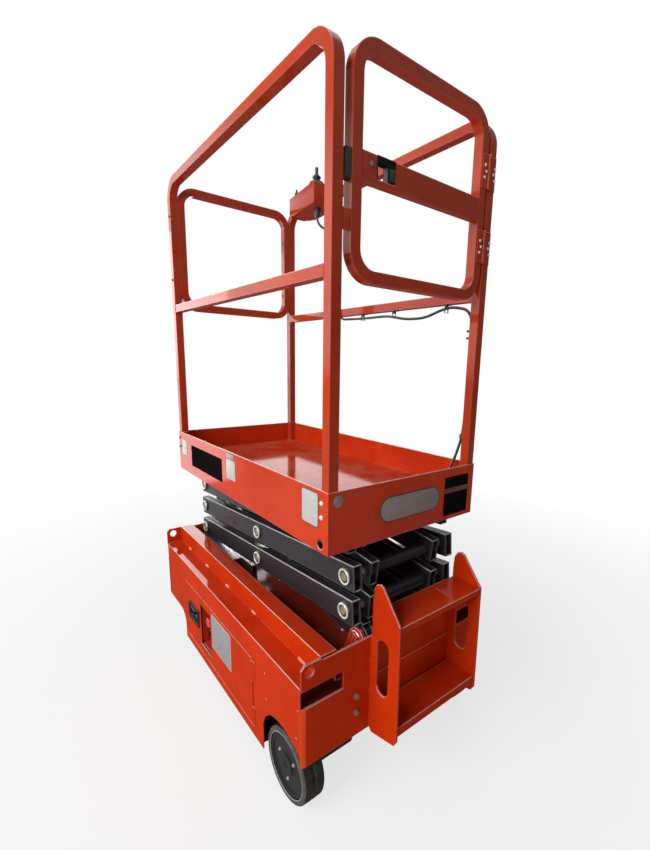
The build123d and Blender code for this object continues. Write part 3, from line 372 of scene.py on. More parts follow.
def make_finishes():
    s = finish_settings()
    coat, metal, skin = sprayed_coat_group(), bare_metal_group(), moulded_group()

    # edge is the colour of the painted highlight on upward outer edges, and light is its strength
    def paint(key, name, colour, thin, edge, radius, light, dust, peel, rough, gloss, gloss_rough,
              level_gloss=None, specular=0.0, dust_colour=s.dust):
        values = {"Colour": solid(colour), "Thin Colour": solid(thin), "Edge Highlight Colour": solid(edge),
                  "Dust Colour": solid(dust_colour), "Dust": dust, "Peel": peel, "Edge Radius": radius,
                  "Edge Light": light, "Roughness": rough}
        if level_gloss is not None:
            values.update({"Gloss": gloss, "Level Gloss": level_gloss})
        FINISH[key] = finished(name, coat, values, coat=gloss, coat_rough=gloss_rough, specular=specular)

    # the third colour of each paint below is its painted highlight on upward outer edges
    paint("orange", "orange_gloss_paint", s.orange, s.orange_deep, (1.0, 0.82, 0.74), radius=s.soft_edge, light=0.9,
          dust=0.10, peel=s.peel, rough=0.36, gloss=s.gloss, gloss_rough=0.05, level_gloss=0.45)
    paint("deck", "orange_worn_floor", s.orange, s.orange_deep, (1.0, 0.86, 0.76), radius=s.soft_edge, light=1.0,
          dust=0.70, peel=0.35, rough=0.42, gloss=0.42, gloss_rough=0.10, level_gloss=0.22)
    # darker, duller copy of the orange for guards, gate and control box: painted shade of tubes seen against the
    # light
    paint("tube", "orange_tube_painted_shade", (0.54, 0.050, 0.012), (0.42, 0.040, 0.012), (1.0, 0.66, 0.54), radius=0.0040,
          light=0.95, dust=0.2, peel=s.peel, rough=0.34, gloss=0.45, gloss_rough=0.06)
    # darker orange for the chassis deck, equipment tray and deck covers: painted shade of the platform above them
    paint("bed", "orange_deck_painted_shade", (0.34, 0.022, 0.008), (0.26, 0.018, 0.008), (0.90, 0.40, 0.30), radius=0.002,
          light=0.5, dust=0.15, peel=0.15, rough=0.42, gloss=0.1, gloss_rough=0.10, level_gloss=0.40)
    # dark orange for the hand slot liners and the switch plate: painted shade inside recesses
    paint("pan", "orange_sheet_painted_shade", (0.20, 0.012, 0.004), (0.15, 0.010, 0.004), (0.60, 0.16, 0.10), radius=0.001,
          light=0.3, dust=0.1, peel=0.2, rough=0.5, gloss=0.1, gloss_rough=0.2, specular=0.05)
    # brighter orange for the corner folds: painted highlight of the light falling on them
    paint("fold", "orange_fold_painted_highlight", (0.90, 0.085, 0.012), (0.80, 0.062, 0.010), (1.0, 0.62, 0.46), radius=0.001,
          light=0.5, dust=0.25, peel=s.peel, rough=0.34, gloss=s.gloss, gloss_rough=0.06)
    # pale pinkish orange for the ledge weld beads: painted glint of light off the beads
    paint("weld", "orange_weld_bead_painted_glint", (0.86, 0.34, 0.22), (0.72, 0.16, 0.08), (1.0, 0.80, 0.70), radius=0.001,
          light=0.8, dust=0.2, peel=0.2, rough=0.30, gloss=0.5, gloss_rough=0.08, specular=0.4)
    paint("arm", "arm_black_paint", s.arm_black, (0.030, 0.027, 0.032), (0.95, 0.93, 0.90), radius=0.0060, light=1.0,
          dust=0.5, peel=0.25, rough=0.42, gloss=0.25, gloss_rough=0.09, level_gloss=0.8, specular=0.08,
          dust_colour=(0.16, 0.15, 0.15))
    paint("dark", "cross_tube_black", (0.014, 0.013, 0.017), (0.022, 0.020, 0.025), (0.30, 0.29, 0.29), radius=0.0020,
          light=0.4, dust=0.4, peel=0.25, rough=0.40, gloss=0.25, gloss_rough=0.12, specular=0.1,
          dust_colour=(0.14, 0.13, 0.13))
    paint("hub", "hub_black_paint", (0.010, 0.010, 0.012), (0.020, 0.019, 0.020), (0.20, 0.20, 0.20), radius=0.0015,
          light=0.4, dust=0.8, peel=0.9, rough=0.55, gloss=0.05, gloss_rough=0.4, specular=0.15,
          dust_colour=(0.09, 0.085, 0.08))
    paint("latch", "latch_black_paint", (0.012, 0.012, 0.016), (0.020, 0.020, 0.024), (0.95, 0.94, 0.92),
          radius=0.0012, light=1.0, dust=0.1, peel=0.05, rough=0.32, gloss=0.03, gloss_rough=0.1,
          dust_colour=(0.05, 0.05, 0.05))

    # key, name, colour, stain, how much is stained, roughness, scratches, metallic
    for key, name, colour, stain, stained, rough, scratch, metallic in (
            ("steel", "bright_turned_steel", (0.72, 0.69, 0.64), (0.34, 0.29, 0.24), 0.5, 0.30, 0.3, 1.0),
            ("ring", "bright_pin_ring", (0.86, 0.83, 0.76), (0.50, 0.44, 0.36), 0.35, 0.34, 0.2, 0.45),
            ("bronze", "greased_bronze", (0.42, 0.33, 0.22), (0.10, 0.08, 0.06), 0.8, 0.42, 0.4, 0.8),
            ("zinc", "zinc_plate", (0.58, 0.58, 0.57), (0.30, 0.28, 0.25), 0.6, 0.38, 0.2, 1.0),
            ("dusty", "dusty_zinc", (0.32, 0.20, 0.15), (0.24, 0.07, 0.04), 0.8, 0.6, 0.2, 0.5),
            ("chrome", "hard_chrome", (0.82, 0.82, 0.84), (0.60, 0.58, 0.55), 0.2, 0.08, 0.05, 1.0),
            ("dark_bolt", "blackened_bolt", (0.10, 0.10, 0.11), (0.20, 0.16, 0.12), 0.6, 0.45, 0.3, 0.9),
            ("sign_silver", "silver_sign_plate", (0.33, 0.33, 0.33), (0.24, 0.23, 0.23), 0.6, 0.48, 0.15, 0.2),
            ("sign_grey", "warm_grey_sign_plate", (0.31, 0.25, 0.23), (0.23, 0.17, 0.15), 0.6, 0.50, 0.15, 0.1)):
        FINISH[key] = finished(name, metal, {
            "Colour": solid(colour), "Stain": solid(stain), "Stained": stained, "Roughness": rough,
            "Scratch": scratch}, metallic=metallic)

    # key, name, colour, scuff colour, scuffs, grain size, grain, roughness, and what the shader adds
    for key, name, colour, scuff, scuffs, grain_size, grain, rough, extra in (
            ("tyre", "solid_tyre_rubber", (0.014, 0.013, 0.013), (0.085, 0.075, 0.065), 0.5, 260.0, 0.45, 0.72,
             {"specular": 0.2}),
            ("tyre_side", "dusty_tyre_side", (0.075, 0.062, 0.052), (0.17, 0.145, 0.125), 0.8, 320.0, 0.35, 0.80,
             {"specular": 0.2}),
            ("caster", "caster_polyurethane", (0.045, 0.045, 0.048), (0.16, 0.15, 0.14), 0.4, 500.0, 0.12, 0.45, {}),
            ("plastic", "black_moulded_plastic", (0.016, 0.017, 0.020), (0.08, 0.08, 0.085), 0.25, 900.0, 0.12, 0.42,
             {}),
            ("rubber", "bellows_rubber", (0.022, 0.022, 0.024), (0.10, 0.095, 0.09), 0.35, 700.0, 0.2, 0.62, {}),
            ("gland", "gland_navy_plastic", (0.020, 0.022, 0.040), (0.08, 0.08, 0.10), 0.2, 900.0, 0.1, 0.40, {}),
            ("cable", "cable_sheath", (0.018, 0.018, 0.020), (0.09, 0.09, 0.09), 0.3, 1200.0, 0.1, 0.40, {}),
            ("red", "red_button_plastic", (0.62, 0.012, 0.010), (0.70, 0.16, 0.12), 0.2, 1500.0, 0.05, 0.28,
             {"coat": 0.4}),
            ("case", "battery_case_plastic", (0.035, 0.035, 0.038), (0.14, 0.13, 0.12), 0.4, 300.0, 0.25, 0.55, {}),
            ("sign_black", "black_sign_film", (0.007, 0.006, 0.008), (0.03, 0.028, 0.03), 0.15, 900.0, 0.03, 0.28,
             {"specular": 0.0}),
            ("sign_white", "white_sign_film", (0.56, 0.55, 0.52), (0.44, 0.42, 0.38), 0.4, 900.0, 0.03, 0.38,
             {"coat": 0.05, "coat_rough": 0.2, "specular": 0.1}),
            ("sign_ink", "sign_ink", (0.030, 0.022, 0.020), (0.10, 0.08, 0.07), 0.3, 900.0, 0.02, 0.45, {}),
            ("band", "red_sign_band", (0.17, 0.022, 0.022), (0.26, 0.10, 0.09), 0.3, 900.0, 0.02, 0.40, {})):
        FINISH[key] = finished(name, skin, {
            "Colour": solid(colour), "Scuff Colour": solid(scuff), "Scuffs": scuffs, "Grain Size": grain_size,
            "Grain": grain, "Roughness": rough}, **extra)


# ---- mesh shapes ---------------------------------------------------------------------------------
def facing(origin, normal, top=UP):
    """Matrix that carries a shape standing on the XY plane to origin, its +Z along normal."""
    z = Vector(normal).normalized()
    x = Vector(top).cross(z)
    x = (x if x.length > 1e-6 else Vector((1, 0, 0)).cross(z)).normalized()
    turn = Matrix((x, z.cross(x), z)).transposed().to_4x4()
    return Matrix.Translation(origin) @ turn


def since(bm, old):
    """Vertices made since old was listed."""
    return [v for v in bm.verts if v not in old]


def at_height(verts, height):
    """Edges of some vertices that lie level at a height."""
    edges = {e for v in verts for e in v.link_edges}
    return [e for e in edges if all(abs(w.co.z - height) < 1e-7 for w in e.verts)]


def bevelled(bm, edges, offset, segments):
    """Rounds some edges."""
    bmesh.ops.bevel(bm, geom=list(edges), offset=offset, segments=segments, profile=0.5, affect="EDGES",
                    material=-1, clamp_overlap=True)


def turned(bm, outline, place, steps):
    """Solid of revolution about local +Z from (radius, height) corners."""
    old = set(bm.verts)
    verts = [bm.verts.new((radius, 0, height)) for radius, height in outline]
    edges = [bm.edges.new(pair) for pair in zip(verts, verts[1:])]
    bmesh.ops.spin(bm, geom=verts + edges, cent=(0, 0, 0), axis=(0, 0, 1), angle=math.tau, steps=steps,
                   use_merge=True)
    bmesh.ops.remove_doubles(bm, verts=since(bm, old), dist=1e-6)
    bmesh.ops.transform(bm, matrix=place, verts=since(bm, old))


def block(bm, size, place, corner=0.0, rim=0.0, steps=4):
    """Box centred on local X and Y and standing on local Z, with rounded upright corners and top rim."""
    old = set(bm.verts)
    made = bmesh.ops.create_cube(bm, size=1.0)["verts"]
    bmesh.ops.scale(bm, vec=Vector(size), verts=made)
    bmesh.ops.translate(bm, vec=(0, 0, size[2] / 2), verts=made)
    if corner:
        edges = {e for v in made for e in v.link_edges
                 if abs(e.verts[0].co.z - e.verts[1].co.z) > size[2] * 0.9}
        bevelled(bm, edges, corner, steps)
    if rim:
        bevelled(bm, [e for e in at_height(since(bm, old), size[2]) if len(e.link_faces) == 2
                      and any(abs(f.normal.z) < 0.5 for f in e.link_faces)], rim, 2)
    bmesh.ops.transform(bm, matrix=place, verts=since(bm, old))


def hex_bolt(bm, place, width, washer):
    """Hexagon head with chamfered corners, width over its flats, on a washer so many times as wide."""
    radius, height = width / math.sqrt(3), width * 0.42
    disc, thick = width * washer / 2, width * 0.12
    turned(bm, [(0, 0), (disc, 0), (disc, width * 0.08), (disc - width * 0.04, thick), (0, thick)], place, 24)
    old = set(bm.verts)
    bmesh.ops.create_cone(bm, cap_ends=True, segments=6, radius1=radius, radius2=radius, depth=height,
                          matrix=Matrix.Translation((0, 0, thick + height / 2)))
    bevelled(bm, at_height(since(bm, old), thick + height), width * 0.06, 2)
    bmesh.ops.transform(bm, matrix=place, verts=since(bm, old))


def dome_screw(bm, place, width, socket=True):
    """Low domed head, with or without a sunk socket."""
    r, h = width / 2, width * 0.34
    rise = [(r * math.cos(a), h * math.sin(a)) for a in (0.0, 0.35, 0.7, 1.05, 1.3)]
    inner = [(r * 0.30, h * 0.985), (r * 0.28, h * 0.35), (0, h * 0.30)] if socket else [(0, h)]
    turned(bm, [(0, -0.0002), (r, -0.0002)] + rise + inner, place, 20)


def bead(bm, start, run, radius):
    """Weld bead with a ripple every 4 mm, along a run from a point."""
    end = start + Vector(run)
    run = end - start
    count = max(3, int(run.length / 0.004))
    made = bmesh.ops.create_circle(bm, cap_ends=True, segments=8, radius=radius * 0.5,
                                   matrix=facing(start, run))["verts"]
    ring = list({e for v in made for e in v.link_edges})
    place, size = start.copy(), 0.5
    for step in range(1, count + 1):
        out = bmesh.ops.extrude_edge_only(bm, edges=ring)["geom"]
        verts = [g for g in out if isinstance(g, bmesh.types.BMVert)]
        ring = [g for g in out if isinstance(g, bmesh.types.BMEdge)]
        goal = start.lerp(end, step / count)
        wanted = 0.5 if step == count else 1.12 if step % 2 else 0.88
        bmesh.ops.translate(bm, vec=goal - place, verts=verts)
        bmesh.ops.scale(bm, vec=Vector((1, 1, 1)) * (wanted / size), verts=verts,
                        space=Matrix.Translation(-goal))
        place, size = goal, wanted
    bmesh.ops.edgeloop_fill(bm, edges=ring)


def piece(bm, name, body, finish, crease):
    """Turns a bmesh into a finished piece that rides on a body; creases sharper than an angle stay sharp."""
    if not bm.faces:
        raise RuntimeError(f"{name} has no faces")
    bmesh.ops.recalc_face_normals(bm, faces=list(bm.faces))
    mesh = bpy.data.meshes.new(name)
    bm.to_mesh(mesh)
    bm.free()
    mesh.polygons.foreach_set("use_smooth", [True] * len(mesh.polygons))
    mesh.set_sharp_from_angle(angle=math.radians(crease))
    obj = bpy.data.objects.new(name, mesh)
    bpy.context.scene.collection.objects.link(obj)
    for key in ([finish] if isinstance(finish, str) else finish):
        mesh.materials.append(FINISH[key])
    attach(obj, body)
    return obj


def lathe(name, body, finish, crease, outline, place, steps):
    """A piece that is one solid of revolution."""
    bm = bmesh.new()
    turned(bm, outline, place, steps)
    return piece(bm, name, body, finish, crease)


def slab(name, body, finish, slot, *shape):
    """A piece that is one block."""
    bm = bmesh.new()
    block(bm, *shape)
    return piece(bm, name, body, finish, 30)


class LiftOperator:
    """Shared settings of the build steps."""
    bl_options = {"REGISTER"}

    def execute(self, context):
        self.build(context)
        return {"FINISHED"}


# ---- stage ---------------------------------------------------------------------------------------
class LIFT_OT_stage(LiftOperator, bpy.types.Operator):
    """Pale floor, soft lamps, even room light and the camera"""
    bl_idname = "lift.stage"
    bl_label = "Stage"

    def build(self, context):
        scene, s = context.scene, context.scene.lift_stage
        scene.view_settings.view_transform = "Standard"
        self.floor(scene, s)
        self.room(scene, s)
        self.lamps(scene, s)
        self.camera(scene, s)

    def floor(self, scene, s):
        """Grey floor that the camera sees nearly white, and quite white further off."""
        bm = bmesh.new()
        bmesh.ops.create_grid(bm, x_segments=2, y_segments=2, size=30.0)
        mesh = bpy.data.meshes.new("stage_floor")
        bm.to_mesh(mesh)
        bm.free()
        floor = bpy.data.objects.new("stage_floor", mesh)
        scene.collection.objects.link(floor)
        material = bpy.data.materials.new("stage_floor")
        material.use_nodes = True
        graph = Graph(material.node_tree)
        away = graph.add("ShaderNodeVectorMath", {0: graph.place()}, operation="LENGTH").outputs["Value"]
        share = graph.plus(graph.times(graph.ramp(away, 1.0, 3.2), 1 - s.near_white), s.near_white)
        seen = graph.add("ShaderNodeLightPath").outputs["Is Camera Ray"]
        white = graph.add("ShaderNodeEmission", {"Color": (1, 1, 1, 1), "Strength": 1.0}).outputs[0]
        lit = graph.add("ShaderNodeBsdfPrincipled", {"Base Color": solid(s.floor), "Roughness": 0.75}).outputs[0]
        mixed = graph.add("ShaderNodeMixShader", {0: graph.times(share, seen), 1: lit, 2: white}).outputs[0]
        graph.add("ShaderNodeOutputMaterial", {"Surface": mixed})
        mesh.materials.append(material)

    def room(self, scene, s):
        """Even light on the object, white behind it, and in gloss a dim room with one window band."""
        world = bpy.data.worlds.new("room_light")
        scene.world = world
        world.use_nodes = True
        graph = Graph(world.node_tree)
        rays = graph.add("ShaderNodeLightPath").outputs
        aim = graph.add("ShaderNodeTexCoord").outputs["Generated"]
        height = graph.z_of(aim)
        ahead = graph.dot(aim, (-math.sin(s.heading), math.cos(s.heading), 0.0))
        bright = graph.maths("MAXIMUM", graph.ramp(ahead, 0.25, 0.60), graph.ramp(height, 0.10, 0.55))
        band = graph.times(graph.ramp(height, -0.06, 0.03), graph.ramp(height, 0.46, 0.36))
        window = graph.times(graph.ramp(graph.dot(aim, (-0.80, -0.60, 0.0)), 0.72, 0.86), band)
        level = graph.plus(graph.span(bright, s.dark_side, 0.55), graph.times(window, s.window))
        mirrored = graph.add("ShaderNodeBackground", {"Color": (1, 1, 1, 1), "Strength": level}).outputs[0]
        soft = graph.add("ShaderNodeBackground", {"Color": (1.0, 0.99, 0.98, 1), "Strength": s.sky}).outputs[0]
        white = graph.add("ShaderNodeBackground", {"Color": (1, 1, 1, 1), "Strength": 1.0}).outputs[0]
        glass = graph.maths("MAXIMUM", rays["Is Glossy Ray"], rays["Is Transmission Ray"])
        room = graph.add("ShaderNodeMixShader", {0: glass, 1: soft, 2: mirrored}).outputs[0]
        both = graph.add("ShaderNodeMixShader", {0: rays["Is Camera Ray"], 1: room, 2: white}).outputs[0]
        graph.add("ShaderNodeOutputWorld", {"Surface": both})

    def lamps(self, scene, s):
        """Two soft lamps, and two cards that only gloss and metal show."""
        glow = s.card * math.pi
        # name, place, what it faces, width, height, power, and whether it is a card
        for name, place, goal, wide, tall, power, card in (
                ("side_lamp", (0.75, -4.3, 3.0), (0.0, 0.0, 0.9), 3.0, 3.0, s.side_lamp, False),
                ("top_lamp", (-0.5, 0.3, 4.6), (0.0, 0.0, 0.8), 2.6, 2.6, s.top_lamp, False),
                ("left_card", (-3.0, -0.88, 1.22), (0.0, -0.6, 1.22), 1.3, 2.4, glow * 1.3 * 2.4, True),
                ("rear_card", (-3.0, 1.35, 1.90), (0.0, 0.0, 0.6), 3.0, 1.0, glow * 2.0 * 3.0, True)):
            lamp = bpy.data.lights.new(name, "AREA")
            lamp.shape, lamp.size, lamp.size_y, lamp.energy = "RECTANGLE", wide, tall, power
            holder = bpy.data.objects.new(name, lamp)
            look = Vector(goal) - Vector(place)
            holder.matrix_world = Matrix.Translation(place) @ look.to_track_quat("-Z", "Y").to_matrix().to_4x4()
            holder.visible_camera = False
            holder.visible_diffuse = not card
            scene.collection.objects.link(holder)

    def camera(self, scene, s):
        a, e, r = s.heading, s.dip, s.roll
        ahead = Vector((-math.sin(a) * math.cos(e), math.cos(a) * math.cos(e), -math.sin(e)))
        right = ahead.cross(UP).normalized()
        over = right.cross(ahead)
        x = math.cos(r) * right + math.sin(r) * over
        y = -math.sin(r) * right + math.cos(r) * over
        camera = bpy.data.cameras.new("view")
        camera.lens, camera.sensor_width, camera.clip_start = s.lens, SENSOR, 0.02
        camera.shift_x, camera.shift_y = s.shift
        holder = bpy.data.objects.new("view", camera)
        holder.matrix_world = Matrix.Translation(s.eye) @ Matrix((x, y, -ahead)).transposed().to_4x4()
        scene.collection.objects.link(holder)
        scene.camera = holder


# ---- finishes on the frame's own nodes -------------------------------------------------------------
NODE_FINISH = {
    # the chassis deck and equipment tray take the darker orange of painted shade
    "platform_tray": "deck", "chassis_deck": "bed", "equipment_tray": "bed", "guard_left": "tube",
    "guard_right": "tube", "guard_rear": "tube", "gate_frame": "tube", "gate_panel": "tube",
    "gate_hinges_post": "tube", "gate_hinges_gate": "tube",
    "lift_cylinder_rod": "chrome", "drive_hub_left": "hub", "drive_hub_right": "hub", "ground_controls": "red",
    "gate_latch_grip": "plastic", "gate_latch_pad": "plastic", "door_latch_left": "plastic",
    "door_latch_right": "plastic", "control_levers": "rubber", "control_cable": "cable",
    "battery_pack": "case", "power_unit": "case", "caster_mounts": "zinc", "base_rollers": "steel",
    "platform_rollers": "steel", "drive_motors": "dark", "base_roller_tracks": "zinc",
}


def node_finish(node):
    """A node's own finish, or else the first whose start its name has, or else orange paint."""
    if node in NODE_FINISH:
        return NODE_FINISH[node]
    for start, key in (("outer_pins", "steel"), ("inner_cross", "dark"), ("inner_", "arm"), ("outer_", "arm"),
                       ("lift_", "arm"), ("drive_tyre", "tyre"), ("caster_wheel", "caster"),
                       ("caster_fork", "zinc")):
        if node.startswith(start):
            return key
    return "orange"


class LIFT_OT_finishes(LiftOperator, bpy.types.Operator):
    """Paint, metal, rubber and plastic finishes on every node of the frame"""
    bl_idname = "lift.finishes"
    bl_label = "Finishes"

    def build(self, context):
        make_finishes()
        for name, obj in NODES.items():
            obj.data.materials.clear()
            obj.data.materials.append(FINISH[node_finish(name)])


# ---- wheels ------------------------------------------------------------------------------------------
class LIFT_OT_drive_wheels(LiftOperator, bpy.types.Operator):
    """Solid drive tyres with rounded shoulders and a worn groove, hub rings and hub bolts"""
    bl_idname = "lift.drive_wheels"
    bl_label = "Drive wheels"

    def build(self, context):
        lip = hardware().tyre_shoulder
        for side, out in (("left", LEFT), ("right", RIGHT)):
            body = f"{side}_drive_wheel"
            low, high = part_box(f"drive_tyre_{side}")
            centre, radius, half = (low + high) / 2, (high.z - low.z) / 2, (high.y - low.y) / 2
            inner = radius - 0.0145
            bend = [(radius - lip + lip * math.sin(t), half - lip + lip * math.cos(t))
                    for t in (0.0, 0.3, 0.65, 1.0, 1.3)]
            upper = [(inner, half - 0.002), (inner + 0.0010, half), (inner + 0.003, half), *bend,
                     (radius - 0.0006, half - lip - 0.004), (radius, half - lip - 0.012), (radius, 0.0048),
                     (radius - 0.0004, 0.0040), (radius - 0.0012, 0.0036), (radius - 0.0012, 0.0)]
            lower = [(r, -h) for r, h in reversed(upper)]
            tyre = lathe(f"drive_tyre_tread_{side}", body, ["tyre", "tyre_side"], 40,
                         upper + lower[1:] + upper[:1], facing(centre, out), 96)
            for polygon in tyre.data.polygons:
                if abs(polygon.normal.y) > 0.55:
                    polygon.material_index = 1
            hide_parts(f"drive_tyre_{side}")

            outer, inside = inner - 0.0002, inner - 0.0036
            lathe(f"hub_rim_ring_{side}", body, "sign_silver", 30,
                  [(inside, 0.0002), (inside, 0.0024), (inner - 0.0028, 0.0034), (inner - 0.0010, 0.0034),
                   (outer, 0.0024), (outer, 0.0002), (inside, 0.0002)],
                  facing(centre + out * (half - 0.004), out), 72)
            disc = centre + out * (half - 0.0162)
            lathe(f"hub_cover_{side}", body, "hub", 30,
                  [(0, 0), (inner - 0.0040, 0), (inner - 0.0040, 0.0098), (inner - 0.0090, 0.0116),
                   (inner - 0.0180, 0.0092), (0.034, 0.0074), (0.031, 0.0086), (0.012, 0.0090), (0, 0.0092)],
                  facing(disc, out), 64)
            bm = bmesh.new()
            for k in range(3):
                t = math.tau * (k + 0.30) / 3
                spot = disc + Vector((math.cos(t), 0, math.sin(t))) * 0.046 + out * 0.0080
                hex_bolt(bm, facing(spot, out), 0.0078, 1.4)
            piece(bm, f"hub_bolts_{side}", body, "zinc", 40)


class LIFT_OT_casters(LiftOperator, bpy.types.Operator):
    """Caster tyres with a crowned tread, hub caps, swivel races and axle nuts"""
    bl_idname = "lift.casters"
    bl_label = "Casters"

    def build(self, context):
        mount_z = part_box("caster_mounts")[0].z + 0.008
        for side in ("left", "right"):
            wheel, fork = f"{side}_caster_wheel", f"{side}_caster_fork"
            low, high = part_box(f"caster_wheel_{side}")
            centre, radius, half = (low + high) / 2, (high.z - low.z) / 2, (high.y - low.y) / 2
            tread = half - 0.003
            upper = [(0.0105, half), (0.0185, half), (0.0195, half - 0.001), (0.0200, tread - 0.0035),
                     (radius - 0.031, tread - 0.0045), (radius - 0.028, tread - 0.001), (radius - 0.024, tread),
                     (radius - 0.008, tread - 0.001), (radius - 0.0025, tread - 0.005),
                     (radius - 0.0006, tread - 0.011), (radius, 0.004), (radius, 0.0)]
            lower = [(r, -h) for r, h in reversed(upper)]
            tyre = lathe(f"caster_tyre_{side}", wheel, ["caster", "sign_silver"], 30,
                         upper + lower[1:] + upper[:1], facing(centre, RIGHT), 80)
            for polygon in tyre.data.polygons:
                spot = polygon.center - centre
                if math.hypot(spot.x, spot.z) < radius - 0.030:
                    polygon.material_index = 1
            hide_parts(f"caster_wheel_{side}")

            swivel = pivot(f"{side}_caster_swivel")
            fork_lo, fork_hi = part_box(f"caster_fork_{side}")
            nuts, bolts = bmesh.new(), bmesh.new()
            for out in (LEFT, RIGHT):
                spot = centre + out * ((fork_hi.y - fork_lo.y) / 2 - 0.0075)
                hex_bolt(nuts, facing(spot, out), 0.013, 1.7)
            piece(nuts, f"caster_axle_nuts_{side}", fork, "zinc", 30)
            lathe(f"caster_race_{side}", fork, "zinc", 30,
                  [(0.030, -0.0155), (0.037, -0.0150), (0.0395, -0.0120), (0.0395, -0.0075), (0.037, -0.0045),
                   (0.030, -0.0040), (0.030, -0.0155)], facing(Vector((swivel.x, swivel.y, fork_hi.z)), UP), 40)
            for dx in (-0.042, 0.042):
                for dy in (-0.038, 0.038):
                    hex_bolt(bolts, facing(Vector((swivel.x + dx, swivel.y + dy, mount_z)), UP), 0.013, 1.6)
            piece(bolts, f"caster_mount_bolts_{side}", "chassis", "zinc", 30)


# ---- scissor stack --------------------------------------------------------------------------------
def arm_pins():
    """(stage, place) of each pin that shows on the outer arms."""
    spots = []
    near = {1: pivot("stage_2_foot"), 2: pivot("stage_3_foot"), 3: pivot("platform_pivot")}
    for stage in (1, 2, 3):
        cross = pivot(f"stage_{stage}_cross")
        spots += [(stage, near[stage]), (stage, cross), (stage, cross * 2 - near[stage])]
    return spots


class LIFT_OT_pin_rings(LiftOperator, bpy.types.Operator):
    """Bright rings, dark wells and pin ends on the outer faces of the arms, and collars on the base pin"""
    bl_idname = "lift.pin_rings"
    bl_label = "Arm pin rings"

    def build(self, context):
        ring = hardware().ring
        face_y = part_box("outer_pins_1")[1].y
        for stage in (1, 2, 3):
            arms = f"outer_stage_{stage}"
            rings, wells, pins = bmesh.new(), bmesh.new(), bmesh.new()
            for spot in [spot for k, spot in arm_pins() if k == stage]:
                for out in (LEFT, RIGHT):
                    place = facing(Vector((spot.x, out.y * face_y, spot.z)), out)
                    turned(rings, [(ring - 0.0055, -0.001), (ring - 0.0055, 0.0030), (ring - 0.0045, 0.0042),
                                   (ring - 0.0012, 0.0042), (ring, 0.0030), (ring, -0.001),
                                   (ring - 0.0055, -0.001)], place, 40)
                    turned(wells, [(0.0118, -0.001), (ring - 0.0054, -0.001), (ring - 0.0054, 0.0006),
                                   (0.0118, 0.0006), (0.0118, -0.001)], place, 40)
                    turned(pins, [(0, 0.0002), (0.0122, 0.0002), (0.0126, 0.0016), (0.0112, 0.0034),
                                  (0.0048, 0.0034), (0.0042, 0.0020), (0, 0.0018)], place, 28)
            piece(rings, f"pin_rings_{stage}", arms, "ring", 30)
            piece(wells, f"pin_wells_{stage}", arms, "dark", 30)
            piece(pins, f"pin_ends_{stage}", arms, "bronze", 30)
        base, end_y = pivot("lift"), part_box("base_pivot")[1].y - 0.008
        collars = bmesh.new()
        for out in (LEFT, RIGHT):
            turned(collars, [(0.0126, 0), (0.0126, 0.0052), (0.0140, 0.0064), (0.0185, 0.0064), (0.0200, 0.0050),
                             (0.0200, 0), (0.0126, 0)], facing(Vector((base.x, out.y * end_y, base.z)), out), 36)
        piece(collars, "base_pin_collars", "chassis", "steel", 30)


# ---- chassis ----------------------------------------------------------------------------------------
class LIFT_OT_chassis_bolts(LiftOperator, bpy.types.Operator):
    """Bolts on the side panels, end covers, step brackets and deck"""
    bl_idname = "lift.chassis_bolts"
    bl_label = "Chassis bolts"

    def build(self, context):
        width = hardware().bolt
        bm = bmesh.new()
        for out in (LEFT, RIGHT):
            for dx, z in ((-0.203, 0.358), (-0.197, 0.273), (-0.015, 0.363), (-0.023, 0.271)):
                dome_screw(bm, facing(Vector((END_X + dx, out.y * HALF_WIDTH, z)), out), width * 0.72)
        piece(bm, "side_panel_screws", "chassis", "orange", 35)
        bm = bmesh.new()
        for y in (STEP_LO.y - 0.050, STEP_HI.y + 0.030):
            for z in (0.322, 0.268):
                hex_bolt(bm, facing(Vector((END_X, y, z)), FRONT), width * 1.15, 1.4)
        piece(bm, "step_bracket_bolts", "chassis", "dusty", 30)
        bm = bmesh.new()
        # behind the end plate, and how far the screws stand up on the deck's front cover
        for dx, rise in ((-0.180, 0.0012), (-0.60, 0.0), (-0.98, 0.0)):
            for y in (-0.104, 0.104):
                dome_screw(bm, facing(Vector((END_X + dx, y, DECK_TOP + rise)), UP), width)
        piece(bm, "deck_screws", "chassis", "ring", 35)


